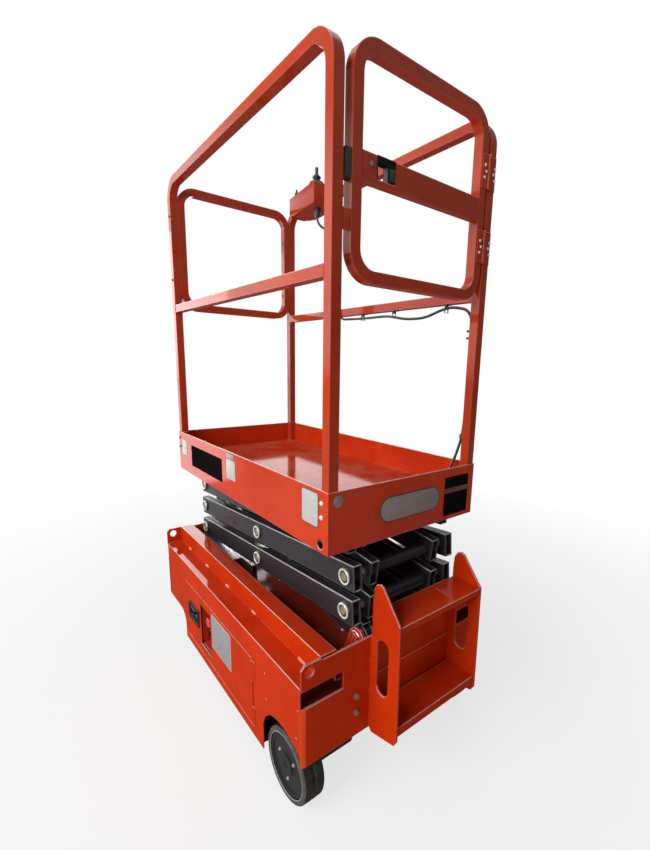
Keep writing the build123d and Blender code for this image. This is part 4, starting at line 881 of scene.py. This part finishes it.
class LIFT_OT_chassis_sheets(LiftOperator, bpy.types.Operator):
    """Slot liners, corner folds, step back plate and the deck's covers; the liners and covers carry painted shade,
    the folds a painted highlight
    """
    bl_idname = "lift.chassis_sheets"
    bl_label = "Chassis sheets"

    def build(self, context):
        # hand slot liners in dark orange: painted shade inside the slots
        slot_y, slot_z, slot_back = 0.308, 0.398, 0.037
        bm = bmesh.new()
        for x, back in ((END_X, REAR), (REAR_X, FRONT)):
            for side in (-1, 1):
                spot = Vector((x, side * slot_y, slot_z)) + back * slot_back
                block(bm, (0.136, 0.066, 0.002), facing(spot, -back), 0.004, 0.0008)
                for dz in (-0.0325, 0.0325):
                    lip = spot + Vector((0, 0, dz))
                    block(bm, (0.134, 0.0014, 0.0306), facing(lip, -back), 0.0004, 0.0003)
        piece(bm, "hand_slot_liners", "chassis", "pan", 30)

        # corner folds in a brighter orange: painted highlight
        low, high = 0.187, 0.372
        bm = bmesh.new()
        for x, way in ((END_X, 1), (REAR_X, -1)):
            for side in (-1, 1):
                outer = Vector((x - way * 0.0060, side * 0.3800, 0))
                inner = Vector((x, side * 0.3660, 0))
                run = inner - outer
                normal = Vector((way * abs(run.y), side * abs(run.x), 0)).normalized()
                spot = (outer + inner) / 2 + Vector((0, 0, (low + high) / 2)) - normal * 0.0008
                block(bm, (run.length, high - low, 0.0014), facing(spot, normal), 0.0005, 0.0003)
        piece(bm, "corner_folds", "chassis", "fold", 30)

        slab("step_back_plate", "chassis", "orange", "orange_paint",
             (STEP_HI.y - STEP_LO.y - 0.0135, 0.130, 0.0030),
             facing(Vector((END_X, (STEP_LO.y + STEP_HI.y) / 2, 0.300)), FRONT), 0.002, 0.0010)
        # deck covers in the darker orange of painted shade, like the deck
        bm = bmesh.new()
        for dx in (0.461, -0.461):
            place = Matrix.Translation((END_X - 0.585 + dx, 0, DECK_TOP))
            block(bm, (0.210, 0.500, 0.0012), place, 0.004, 0.0008)
        piece(bm, "deck_covers", "chassis", "bed", 30)


class LIFT_OT_seams(LiftOperator, bpy.types.Operator):
    """Weld beads on the ledges, ears, toe-boards, rails and step"""
    bl_idname = "lift.seams"
    bl_label = "Weld seams"

    def build(self, context):
        r = hardware().weld
        ledge_y, ledge_z = HALF_WIDTH - 0.065, 0.434
        bm = bmesh.new()
        for side in (-1, 1):
            for x, back in ((END_X - 0.006, -1), (REAR_X + 0.006, 1)):
                corner = Vector((x + back * 0.001, side * (HALF_WIDTH - 0.001), ledge_z + 0.001))
                bead(bm, corner, (0, -side * 0.060, 0), r * 0.8)
                wall = Vector((x + back * 0.001, side * (ledge_y + 0.001), ledge_z + 0.004))
                bead(bm, wall, (0, 0, 0.060), r * 0.8)
        for y in (STEP_LO.y + 0.007, STEP_HI.y - 0.007):
            for tread_top in (0.576, 0.258):
                for dx in (0.016, 0.072):
                    bead(bm, Vector((END_X + dx, y, tread_top + 0.0005)), (0.030, 0, 0), r * 0.8)
        for y in (STEP_LO.y, STEP_HI.y):
            for z in (0.215, 0.300, 0.400, 0.465):
                bead(bm, Vector((END_X + 0.001, y, z)), (0, 0, 0.022), r * 0.8)
        piece(bm, "chassis_weld_seams", "chassis", "orange", 60)
        # ledge weld beads in a pale orange: painted glint
        bm = bmesh.new()
        for side in (-1, 1):
            for dx, run in ((-0.117, 0.038), (-0.420, 0.030), (-0.641, 0.030), (-0.850, 0.030), (-1.060, 0.030)):
                bead(bm, Vector((END_X + dx, side * 0.3150, ledge_z + 0.001)), (run, 0, 0), 0.0052)
        piece(bm, "ledge_weld_beads", "chassis", "weld", 60)

        post, foot_z = 0.030, TRAY_HI.z
        bm = bmesh.new()
        for side in (-1, 1):
            y = side * (TRAY_HI.y - 0.003)
            for x, way in ((TRAY_HI.x - 0.003, -1), (TRAY_LO.x + 0.003, 1)):
                foot = Vector((x + way * (post + 0.001), y - side * 0.001, foot_z - 0.0005))
                bead(bm, foot, (0, -side * (post - 0.002), 0), r * 0.7)
                for dz in (-0.075, -0.030):
                    seam = Vector((x + way * (post + 0.0005), y - side * 0.0005, foot_z + dz))
                    bead(bm, seam, (0, 0, 0.022), r * 0.7)
        piece(bm, "platform_weld_seams", "platform", "tube", 60)

        bm = bmesh.new()
        for side in (-1, 1):
            face = side * (-GUARD_LO.y)
            for x in (GUARD_HI.x - post - 0.0012, GUARD_LO.x + post + 0.0012):
                for z in (MID_RAIL + 0.0004, MID_RAIL - post - 0.0004):
                    bead(bm, Vector((x, face - side * 0.002, z)), (0, -side * 0.026, 0), r * 0.65)
                bead(bm, Vector((x, face - side * 0.0002, MID_RAIL - 0.028)), (0, 0, 0.026), r * 0.65)
        piece(bm, "rail_weld_seams", "platform", "tube", 60)

        bm = bmesh.new()
        for y in (GATE_LO.y + 0.0305, GATE_HI.y - 0.0305):
            for z in (PANEL_LO.z + 0.004, PANEL_HI.z - 0.018):
                bead(bm, Vector((PANEL_HI.x - 0.021, y, z)), (0, 0, 0.014), r * 0.6)
        piece(bm, "gate_weld_seams", "gate", "tube", 60)


# ---- blank signs ---------------------------------------------------------------------------------
def sign(name, body, centre, out, width, height, corner, finish, border=None):
    """Flat sign with rounded corners; border, (finish, width), adds a larger backing."""
    t = hardware().plate
    if border:
        edge, more = border
        slab(f"{name}_border", body, edge, "orange_paint", (width + more * 2, height + more * 2, t * 0.6),
             facing(centre, out), corner + more, t * 0.2, 8)
    slab(name, body, finish, "orange_paint", (width, height, t), facing(centre, out), corner, t * 0.3, 8)


class LIFT_OT_signs(LiftOperator, bpy.types.Operator):
    """Blank signs on the toe-boards and the service door"""
    bl_idname = "lift.signs"
    bl_label = "Blank signs"

    def build(self, context):
        end_x, side_y, top = TRAY_HI.x, TRAY_LO.y, TRAY_HI.z
        mid_x = (end_x + TRAY_LO.x) / 2
        dark = Vector((end_x, 0.213, top - 0.093))
        sign("end_sign_long", "platform", Vector((end_x, 0.005, top - 0.085)), FRONT, 0.246, 0.070, 0.0349,
             "sign_grey", ("sign_ink", 0.0036))
        sign("end_sign_dark", "platform", dark, FRONT, 0.118, 0.128, 0.003, "sign_black")
        slab("end_sign_band", "platform", "band", "orange_paint", (0.1172, 0.016, 0.0003),
             facing(dark + Vector((hardware().plate * 0.95, 0, 0.019)), FRONT))
        lathe("end_sign_round", "platform", "sign_grey", 30,
              [(0, 0), (0.0155, 0), (0.0155, 0.0006), (0.0148, 0.0009), (0, 0.0009)],
              facing(Vector((end_x, -0.268, top - 0.027)), FRONT), 36)
        # name, place from the board's middle and top, width, height, corner, finish, border
        for name, x, z, w, h, corner, key, border in (
                ("side_sign_dark", -0.260, -0.085, 0.330, 0.090, 0.002, "sign_black", None),
                ("side_sign_small", -0.0145, -0.065, 0.074, 0.072, 0.004, "sign_white", None),
                ("side_sign_tag", -0.020, -0.016, 0.060, 0.016, 0.002, "sign_silver", None),
                ("side_sign_far", -0.515, -0.065, 0.058, 0.066, 0.004, "sign_white", None),
                ("side_sign_near", 0.5015, -0.059, 0.076, 0.092, 0.009, "sign_white", ("sign_ink", 0.0030))):
            sign(name, "platform", Vector((mid_x + x, side_y, top + z)), LEFT, w, h, corner, key, border)
        sign("door_sign", "left_side_door", Vector((END_X - 0.550, SIDE_LO.y, 0.268)), LEFT, 0.172, 0.136,
             0.003, "sign_silver", ("sign_white", 0.0030))


# ---- door and ground controls ---------------------------------------------------------------------
class LIFT_OT_ground_controls(LiftOperator, bpy.types.Operator):
    """Emergency button, key switch on their plate, and the paddle latches of the side doors"""
    bl_idname = "lift.ground_controls"
    bl_label = "Ground controls"

    def build(self, context):
        pan_lo, pan_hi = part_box("ground_control_pan")
        back, mouth = SIDE_LO.y + 0.040, pan_lo.y + 0.0022
        # switch plate in dark orange: painted shade inside the control recess
        slab("switch_plate", "chassis", "pan", "orange_paint", (pan_hi.x - pan_lo.x - 0.008, 0.176, 0.0020),
             facing(Vector(((pan_lo.x + pan_hi.x) / 2, back + 0.002, 0.233)), LEFT), 0.003, 0.0006)
        lap, inset = 0.010, 0.0028
        bm = bmesh.new()
        for x0, x1, z0, z1 in ((pan_lo.x - 0.016, pan_lo.x + inset, pan_lo.z - lap, pan_hi.z + lap),
                               (pan_hi.x - inset, pan_hi.x + 0.012, pan_lo.z - lap, pan_hi.z + lap),
                               (pan_lo.x, pan_hi.x, pan_hi.z - inset, pan_hi.z + lap),
                               (pan_lo.x, pan_hi.x, pan_lo.z - lap, pan_lo.z + inset)):
            spot = Vector(((x0 + x1) / 2, mouth, (z0 + z1) / 2))
            block(bm, (x1 - x0, z1 - z0, 0.0020), facing(spot, LEFT), 0.0004, 0.0003)
        piece(bm, "pan_mouth_lips", "chassis", "orange", 30)

        stop = facing(Vector((END_X - 0.716, back, 0.253)), LEFT)
        lathe("stop_button_ring", "chassis", "zinc", 30,
              [(0.0225, 0), (0.0225, 0.0040), (0.0210, 0.0060), (0.0110, 0.0060), (0.0110, 0.0105)], stop, 36)
        head = lathe("stop_button_head", "chassis", "red", 40,
                     [(0.0085, 0.0), (0.0085, 0.0120), (0.0190, 0.0126), (0.0204, 0.0150), (0.0206, 0.0215),
                      (0.0198, 0.0255), (0.0172, 0.0285), (0.0100, 0.0298), (0, 0.0302)], stop, 40)
        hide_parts("ground_controls")
        lock = Vector((END_X - 0.712, back, 0.208))
        lathe("key_switch_collar", "chassis", "steel", 30,
              [(0.0150, 0), (0.0150, 0.010), (0.0130, 0.0140), (0.0115, 0.0170), (0.0060, 0.0175),
               (0.0060, 0.0164), (0, 0.0164)], facing(lock, LEFT), 32)
        slab("key_switch_key", "chassis", "plastic", "black_plastic", (0.0030, 0.0200, 0.0130),
             facing(lock + LEFT * 0.0165, LEFT), 0.0012, 0.0006)

        for side, out in (("left", LEFT), ("right", RIGHT)):
            body = f"{side}_side_door"
            lo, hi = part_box(f"door_latch_{side}")
            centre, w, h = (lo + hi) / 2, hi.x - lo.x, hi.z - lo.z
            outer = Vector((centre.x, out.y * max(abs(lo.y), abs(hi.y)), centre.z))
            edge_x, edge_z, bar = w / 2 - 0.0055, h / 2 - 0.0055, 0.0100
            bezel, paddle = bmesh.new(), bmesh.new()
            for dx, dz, sw, sh in ((0, edge_z, w - 0.001, bar), (0, -edge_z, w - 0.001, bar),
                                   (-edge_x, 0, bar, h - 0.020), (edge_x, 0, bar, h - 0.020)):
                spot = outer + Vector((dx * -out.y, 0, dz)) - out * 0.0012
                block(bezel, (sw, sh, 0.0016), facing(spot, out), 0.0015, 0.0007)
            piece(bezel, f"latch_bezel_{side}", body, "latch", 30)
            middle = outer + Vector((-0.014, 0, 0)) - out * 0.0046
            block(paddle, (w - 0.060, h - 0.034, 0.0034), facing(middle, out), 0.004, 0.0012)
            for dz in (0.014, -0.014):
                spot = middle + out * 0.0033 + Vector((0, 0, dz))
                block(paddle, (w - 0.070, 0.0030, 0.0009), facing(spot, out), 0.001, 0.0004)
            piece(paddle, f"latch_paddle_{side}", body, "latch", 30)
            lathe(f"latch_lock_{side}", body, "dark_bolt", 30,
                  [(0.0090, 0), (0.0090, 0.0024), (0.0080, 0.0034), (0.0030, 0.0034), (0.0030, 0.0020),
                   (0, 0.0020)], facing(outer + Vector((w / 2 - 0.030, 0, 0)) - out * 0.0042, out), 28)


# ---- gate ----------------------------------------------------------------------------------------------
class LIFT_OT_gate_fittings(LiftOperator, bpy.types.Operator):
    """Latch grip frame, stud, stop tab and hinge screws of the gate"""
    bl_idname = "lift.gate_fittings"
    bl_label = "Gate fittings"

    def build(self, context):
        face = PANEL_HI.x
        y1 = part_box("gate_latch_grip")[1].y - 0.008
        y0 = y1 - 0.060
        z0, z1 = PANEL_LO.z + 0.012, PANEL_HI.z - 0.006
        mid_z = (z0 + z1) / 2
        bm = bmesh.new()
        for size, y, z, depth, corner, rim in (
                ((y1 - y0, 0.0140, 0.0225), (y0 + y1) / 2, z1 + 0.0005, 0.0215, 0.0016, 0.0008),
                ((0.0215, z1 - z0 - 0.007, 0.0215), y1 - 0.0112, mid_z - 0.0030, 0.0210, 0.0012, 0.0008),
                ((0.0026, z1 - z0, 0.0205), y0 + 0.0014, mid_z, 0.0195, 0.0006, 0.0004)):
            block(bm, size, facing(Vector((face - depth, y, z)), FRONT), corner, rim)
        piece(bm, "gate_latch_frame", "gate", "latch", 30)
        slab("gate_latch_paddle", "gate", "plastic", "black_plastic", (0.0145, z1 - z0 - 0.016, 0.0014),
             facing(Vector((face + 0.0003, y1 - 0.0110, mid_z - 0.0035)), FRONT), 0.0020, 0.0006)
        tab_low, tab_high = 1.582, 1.629
        slab("gate_stop_tab", "gate", "tube", "orange_paint", (0.0242, tab_high - tab_low, 0.0055),
             facing(Vector((GATE_HI.x - 0.0062, GATE_LO.y - 0.0116, (tab_low + tab_high) / 2)), FRONT),
             0.0015, 0.0008)
        stud = facing(Vector((face, y0 - 0.0160, mid_z + 0.0060)), FRONT)
        lathe("gate_stud_seat", "gate", "dark_bolt", 40,
              [(0.0070, 0), (0.0094, 0), (0.0090, 0.0012), (0.0070, 0.0014)], stud, 28)
        bm = bmesh.new()
        dome_screw(bm, stud, 0.0140, False)
        piece(bm, "gate_latch_stud", "gate", "dusty", 40)

        # node, body, piece, and each screw's height from a hinge's middle and its y
        for node, body, name, places in (
                ("gate_hinges_gate", "gate", "hinge_screws_gate", ((-0.0163, 0.244), (0.0, 0.251), (0.0163, 0.245))),
                ("gate_hinges_post", "platform", "hinge_screws_post",
                 ((-0.0163, 0.2915), (0.0, 0.2850), (0.0163, 0.2915)))):
            lo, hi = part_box(node)
            bm = bmesh.new()
            for zc in (lo.z + 0.046, hi.z - 0.046):
                for dz, y in places:
                    dome_screw(bm, facing(Vector((GATE_HI.x + 0.0030, y, zc + dz)), FRONT), 0.0090)
            piece(bm, name, body, "ring", 35)


# ---- platform ---------------------------------------------------------------------------------------------
class LIFT_OT_platform_bolts(LiftOperator, bpy.types.Operator):
    """Bolts that hold the posts and loops to the toe-boards and to each other"""
    bl_idname = "lift.platform_bolts"
    bl_label = "Platform bolts"

    def build(self, context):
        size = hardware().rivet
        loop_lo, loop_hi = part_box("guard_rear")
        bright, dark = bmesh.new(), bmesh.new()
        for side, out in ((-1, LEFT), (1, RIGHT)):
            y = side * TRAY_HI.y
            for dz in (-0.034, -0.073):
                spot = Vector((TRAY_HI.x - 0.029, y, TRAY_HI.z + dz))
                dome_screw(bright, facing(spot, out), size * 1.08, False)
            for dz in (-0.027, -0.068):
                dome_screw(dark, facing(Vector((TRAY_LO.x + 0.014, y, TRAY_HI.z + dz)), out), size)
            for z in (1.860, 1.611):
                spot = Vector((TRAY_LO.x + 0.018, side * -GUARD_LO.y, z))
                dome_screw(dark, facing(spot, out), size * 0.9)
            for z in (1.850, 1.602):
                spot = Vector(((loop_lo.x + loop_hi.x) / 2, side * (loop_hi.y - 0.030), z))
                dome_screw(dark, facing(spot, -out), size * 0.9)
        piece(bright, "post_bolts_front", "platform", "ring", 40)
        piece(dark, "post_bolts_rear", "platform", "dark_bolt", 40)


class LIFT_OT_control_box(LiftOperator, bpy.types.Operator):
    """Upper control box with its sloping lid, hangers, joystick, toggle, gland and screws"""
    bl_idname = "lift.control_box"
    bl_label = "Control box"

    def build(self, context):
        low_x, high_x, near_y = BOX_LO.x, BOX_HI.x, BOX_LO.y
        guard_y = -GUARD_LO.y
        far_y = guard_y - 0.035
        mid_x, mid_y = (low_x + high_x) / 2, (near_y + far_y) / 2
        rail = GUARD_HI.z
        # heights of the four long edges: under and over, at the rear end and at the front end
        under, over = (rail - 0.0990, rail - 0.0836), (rail - 0.0240, rail - 0.0004)

        def lid(x):
            share = (x - low_x) / (high_x - low_x)
            return over[0] + (over[1] - over[0]) * share

        bm = bmesh.new()
        made = bmesh.ops.create_cube(bm, size=1.0)["verts"]
        bmesh.ops.scale(bm, vec=Vector((high_x - low_x, far_y - near_y, 0.080)), verts=made)
        bmesh.ops.translate(bm, vec=(mid_x, mid_y, rail - 0.050), verts=made)
        for end, x in ((0, low_x), (1, high_x)):
            for heights, up in ((under, False), (over, True)):
                row = [v for v in made if abs(v.co.x - x) < 1e-6 and (v.co.z > rail - 0.050) == up]
                bmesh.ops.translate(bm, vec=(0, 0, heights[end] - row[0].co.z), verts=row)
        bevelled(bm, bm.edges, 0.0035, 3)
        arm = far_y - 0.001
        for x in (low_x + 0.035, low_x + 0.145):
            block(bm, (0.030, guard_y - arm, 0.004), Matrix.Translation((x, (arm + guard_y) / 2, rail + 0.0001)),
                  0.001, 0.0008)
            block(bm, (0.030, 0.0035, 0.066), Matrix.Translation((x, far_y + 0.0014, rail - 0.062)), 0.0008, 0.0008)
        case = piece(bm, "control_case", "platform", "tube", 30)
        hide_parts("control_box")

        slope = math.atan2(over[1] - over[0], high_x - low_x)
        up = Vector((-math.sin(slope), 0, math.cos(slope)))
        slab("control_lid", "platform", "dark", "orange_paint",
             (high_x - low_x - 0.010, far_y - near_y - 0.010, 0.0016),
             facing(Vector((mid_x, mid_y, lid(mid_x) - 0.0004)), up, RIGHT), 0.004, 0.0006)

        stick_x = high_x - 0.054
        stick = Vector((stick_x, mid_y - 0.006, lid(stick_x) + 0.0008))
        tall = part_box("control_levers")[1].z - 0.003 - stick.z
        boot = lathe("joystick_bellows", "platform", "rubber", 50,
                     [(0, 0), (0.0300, 0), (0.0305, 0.0160), (0.0290, 0.0215), (0.0200, 0.0270), (0.0130, 0.0300),
                      (0.0125, 0.0340), (0.0165, 0.0375), (0.0178, 0.0410), (0.0165, 0.0450), (0.0105, 0.0500),
                      (0.0078, 0.0540), (0.0068, 0.0580)], facing(stick, UP), 40)
        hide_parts("control_levers")
        lathe("joystick_grip", "platform", "plastic", 50,
              [(0, 0.0560), (0.0064, 0.0560), (0.0062, 0.0620), (0.0066, 0.0680), (0.0070, tall - 0.0060),
               (0.0058, tall - 0.0018), (0.0030, tall - 0.0003), (0, tall)], facing(stick, UP), 32)
        toggle_x = low_x + 0.032
        lathe("speed_toggle", "platform", "plastic", 40,
              [(0, 0), (0.0105, 0), (0.0105, 0.0120), (0.0085, 0.0165), (0.0050, 0.0195), (0.0040, 0.0230),
               (0.0042, 0.0290), (0.0024, 0.0315), (0, 0.0318)],
              facing(Vector((toggle_x, near_y + 0.020, lid(toggle_x))), up), 28)
        gland = Vector((high_x - 0.038, mid_y - 0.012, BOX_LO.z))
        reach = under[1] - 0.004 - gland.z
        lathe("cable_gland", "platform", "gland", 30,
              [(0.0052, 0.0002), (0.0092, 0.0002), (0.0112, 0.0040), (0.0122, 0.0120), (0.0122, 0.0160),
               (0.0138, 0.0166), (0.0138, reach - 0.0040), (0.0128, reach - 0.0030), (0.0128, reach + 0.0060),
               (0.0052, reach + 0.0060)], facing(gland, UP), 30)
        bm = bmesh.new()
        for x in (low_x + 0.010, high_x - 0.010):
            for y in (near_y + 0.010, far_y - 0.010):
                dome_screw(bm, facing(Vector((x, y, lid(x) + 0.0008)), up), 0.0065)
        piece(bm, "control_box_screws", "platform", "zinc", 35)


class LIFT_OT_cable_ties(LiftOperator, bpy.types.Operator):
    """Ties and clips that hold the control cable to the mid rail and the post"""
    bl_idname = "lift.cable_ties"
    bl_label = "Cable ties"

    def build(self, context):
        post_x, post_y = GUARD_HI.x - 0.015, -GUARD_LO.y - 0.015
        rail_low = 1.478
        bm = bmesh.new()
        # each tie's strap under the rail, its two drops, the loop below the cable, and the clip
        for dx in (-0.549, -0.367, -0.117):
            x = post_x + dx
            for size, dy, dz, rounding in (
                    ((0.0100, 0.0260, 0.0016), 0.0, -0.0014, (0.0003,)),
                    ((0.0040, 0.0012, 0.0250), -0.0172, -0.0260, (0.0003,)),
                    ((0.0040, 0.0012, 0.0250), -0.0008, -0.0260, (0.0003,)),
                    ((0.0040, 0.0176, 0.0012), -0.0090, -0.0268, (0.0003,)),
                    ((0.0085, 0.0100, 0.0095), -0.0090, -0.0110, (0.0015, 0.0012))):
                block(bm, size, Matrix.Translation((x, post_y + dy, rail_low + dz)), *rounding)
        piece(bm, "rail_cable_ties", "platform", "plastic", 30)
        bm = bmesh.new()
        cable_x = post_x - 0.0205
        for z in (1.386, 1.364):
            block(bm, (0.0200, 0.0150, 0.0070), Matrix.Translation((cable_x - 0.0020, post_y, z)), 0.003, 0.001)
        block(bm, (0.0200, 0.0180, 0.0140), Matrix.Translation((cable_x - 0.0010, post_y, 1.041)), 0.004, 0.003)
        piece(bm, "post_cable_ties", "platform", "plastic", 30)


# ---- panel, registration and run -------------------------------------------------------------------
STEPS = (LIFT_OT_stage, LIFT_OT_finishes, LIFT_OT_drive_wheels, LIFT_OT_casters, LIFT_OT_pin_rings,
         LIFT_OT_chassis_bolts, LIFT_OT_chassis_sheets, LIFT_OT_seams, LIFT_OT_signs, LIFT_OT_ground_controls,
         LIFT_OT_gate_fittings, LIFT_OT_platform_bolts, LIFT_OT_control_box, LIFT_OT_cable_ties)


class LIFT_PT_steps(bpy.types.Panel):
    """Lists the build steps"""
    bl_idname = "LIFT_PT_steps"
    bl_label = "Mini scissor lift"
    bl_space_type = "VIEW_3D"
    bl_region_type = "UI"
    bl_category = "Lift"

    def draw(self, context):
        for group in (context.scene.lift_finish, context.scene.lift_hardware, context.scene.lift_stage):
            column = self.layout.column(align=True)
            for key in group.__annotations__:
                column.prop(group, key)
        for step in STEPS:
            self.layout.operator(step.bl_idname)


CLASSES = (LiftFinishSettings, LiftHardwareSettings, LiftStageSettings, *STEPS, LIFT_PT_steps)


def register():
    for cls in CLASSES:
        bpy.utils.register_class(cls)
    bpy.types.Scene.lift_finish = bpy.props.PointerProperty(type=LiftFinishSettings)
    bpy.types.Scene.lift_hardware = bpy.props.PointerProperty(type=LiftHardwareSettings)
    bpy.types.Scene.lift_stage = bpy.props.PointerProperty(type=LiftStageSettings)


def unregister():
    del bpy.types.Scene.lift_stage, bpy.types.Scene.lift_hardware, bpy.types.Scene.lift_finish
    for cls in reversed(CLASSES):
        bpy.utils.unregister_class(cls)


def main():
    register()
    for step in STEPS:
        group, name = step.bl_idname.split(".")
        getattr(getattr(bpy.ops, group), name)()
    bpy.context.view_layer.update()


if __name__ == "__main__":
    main()
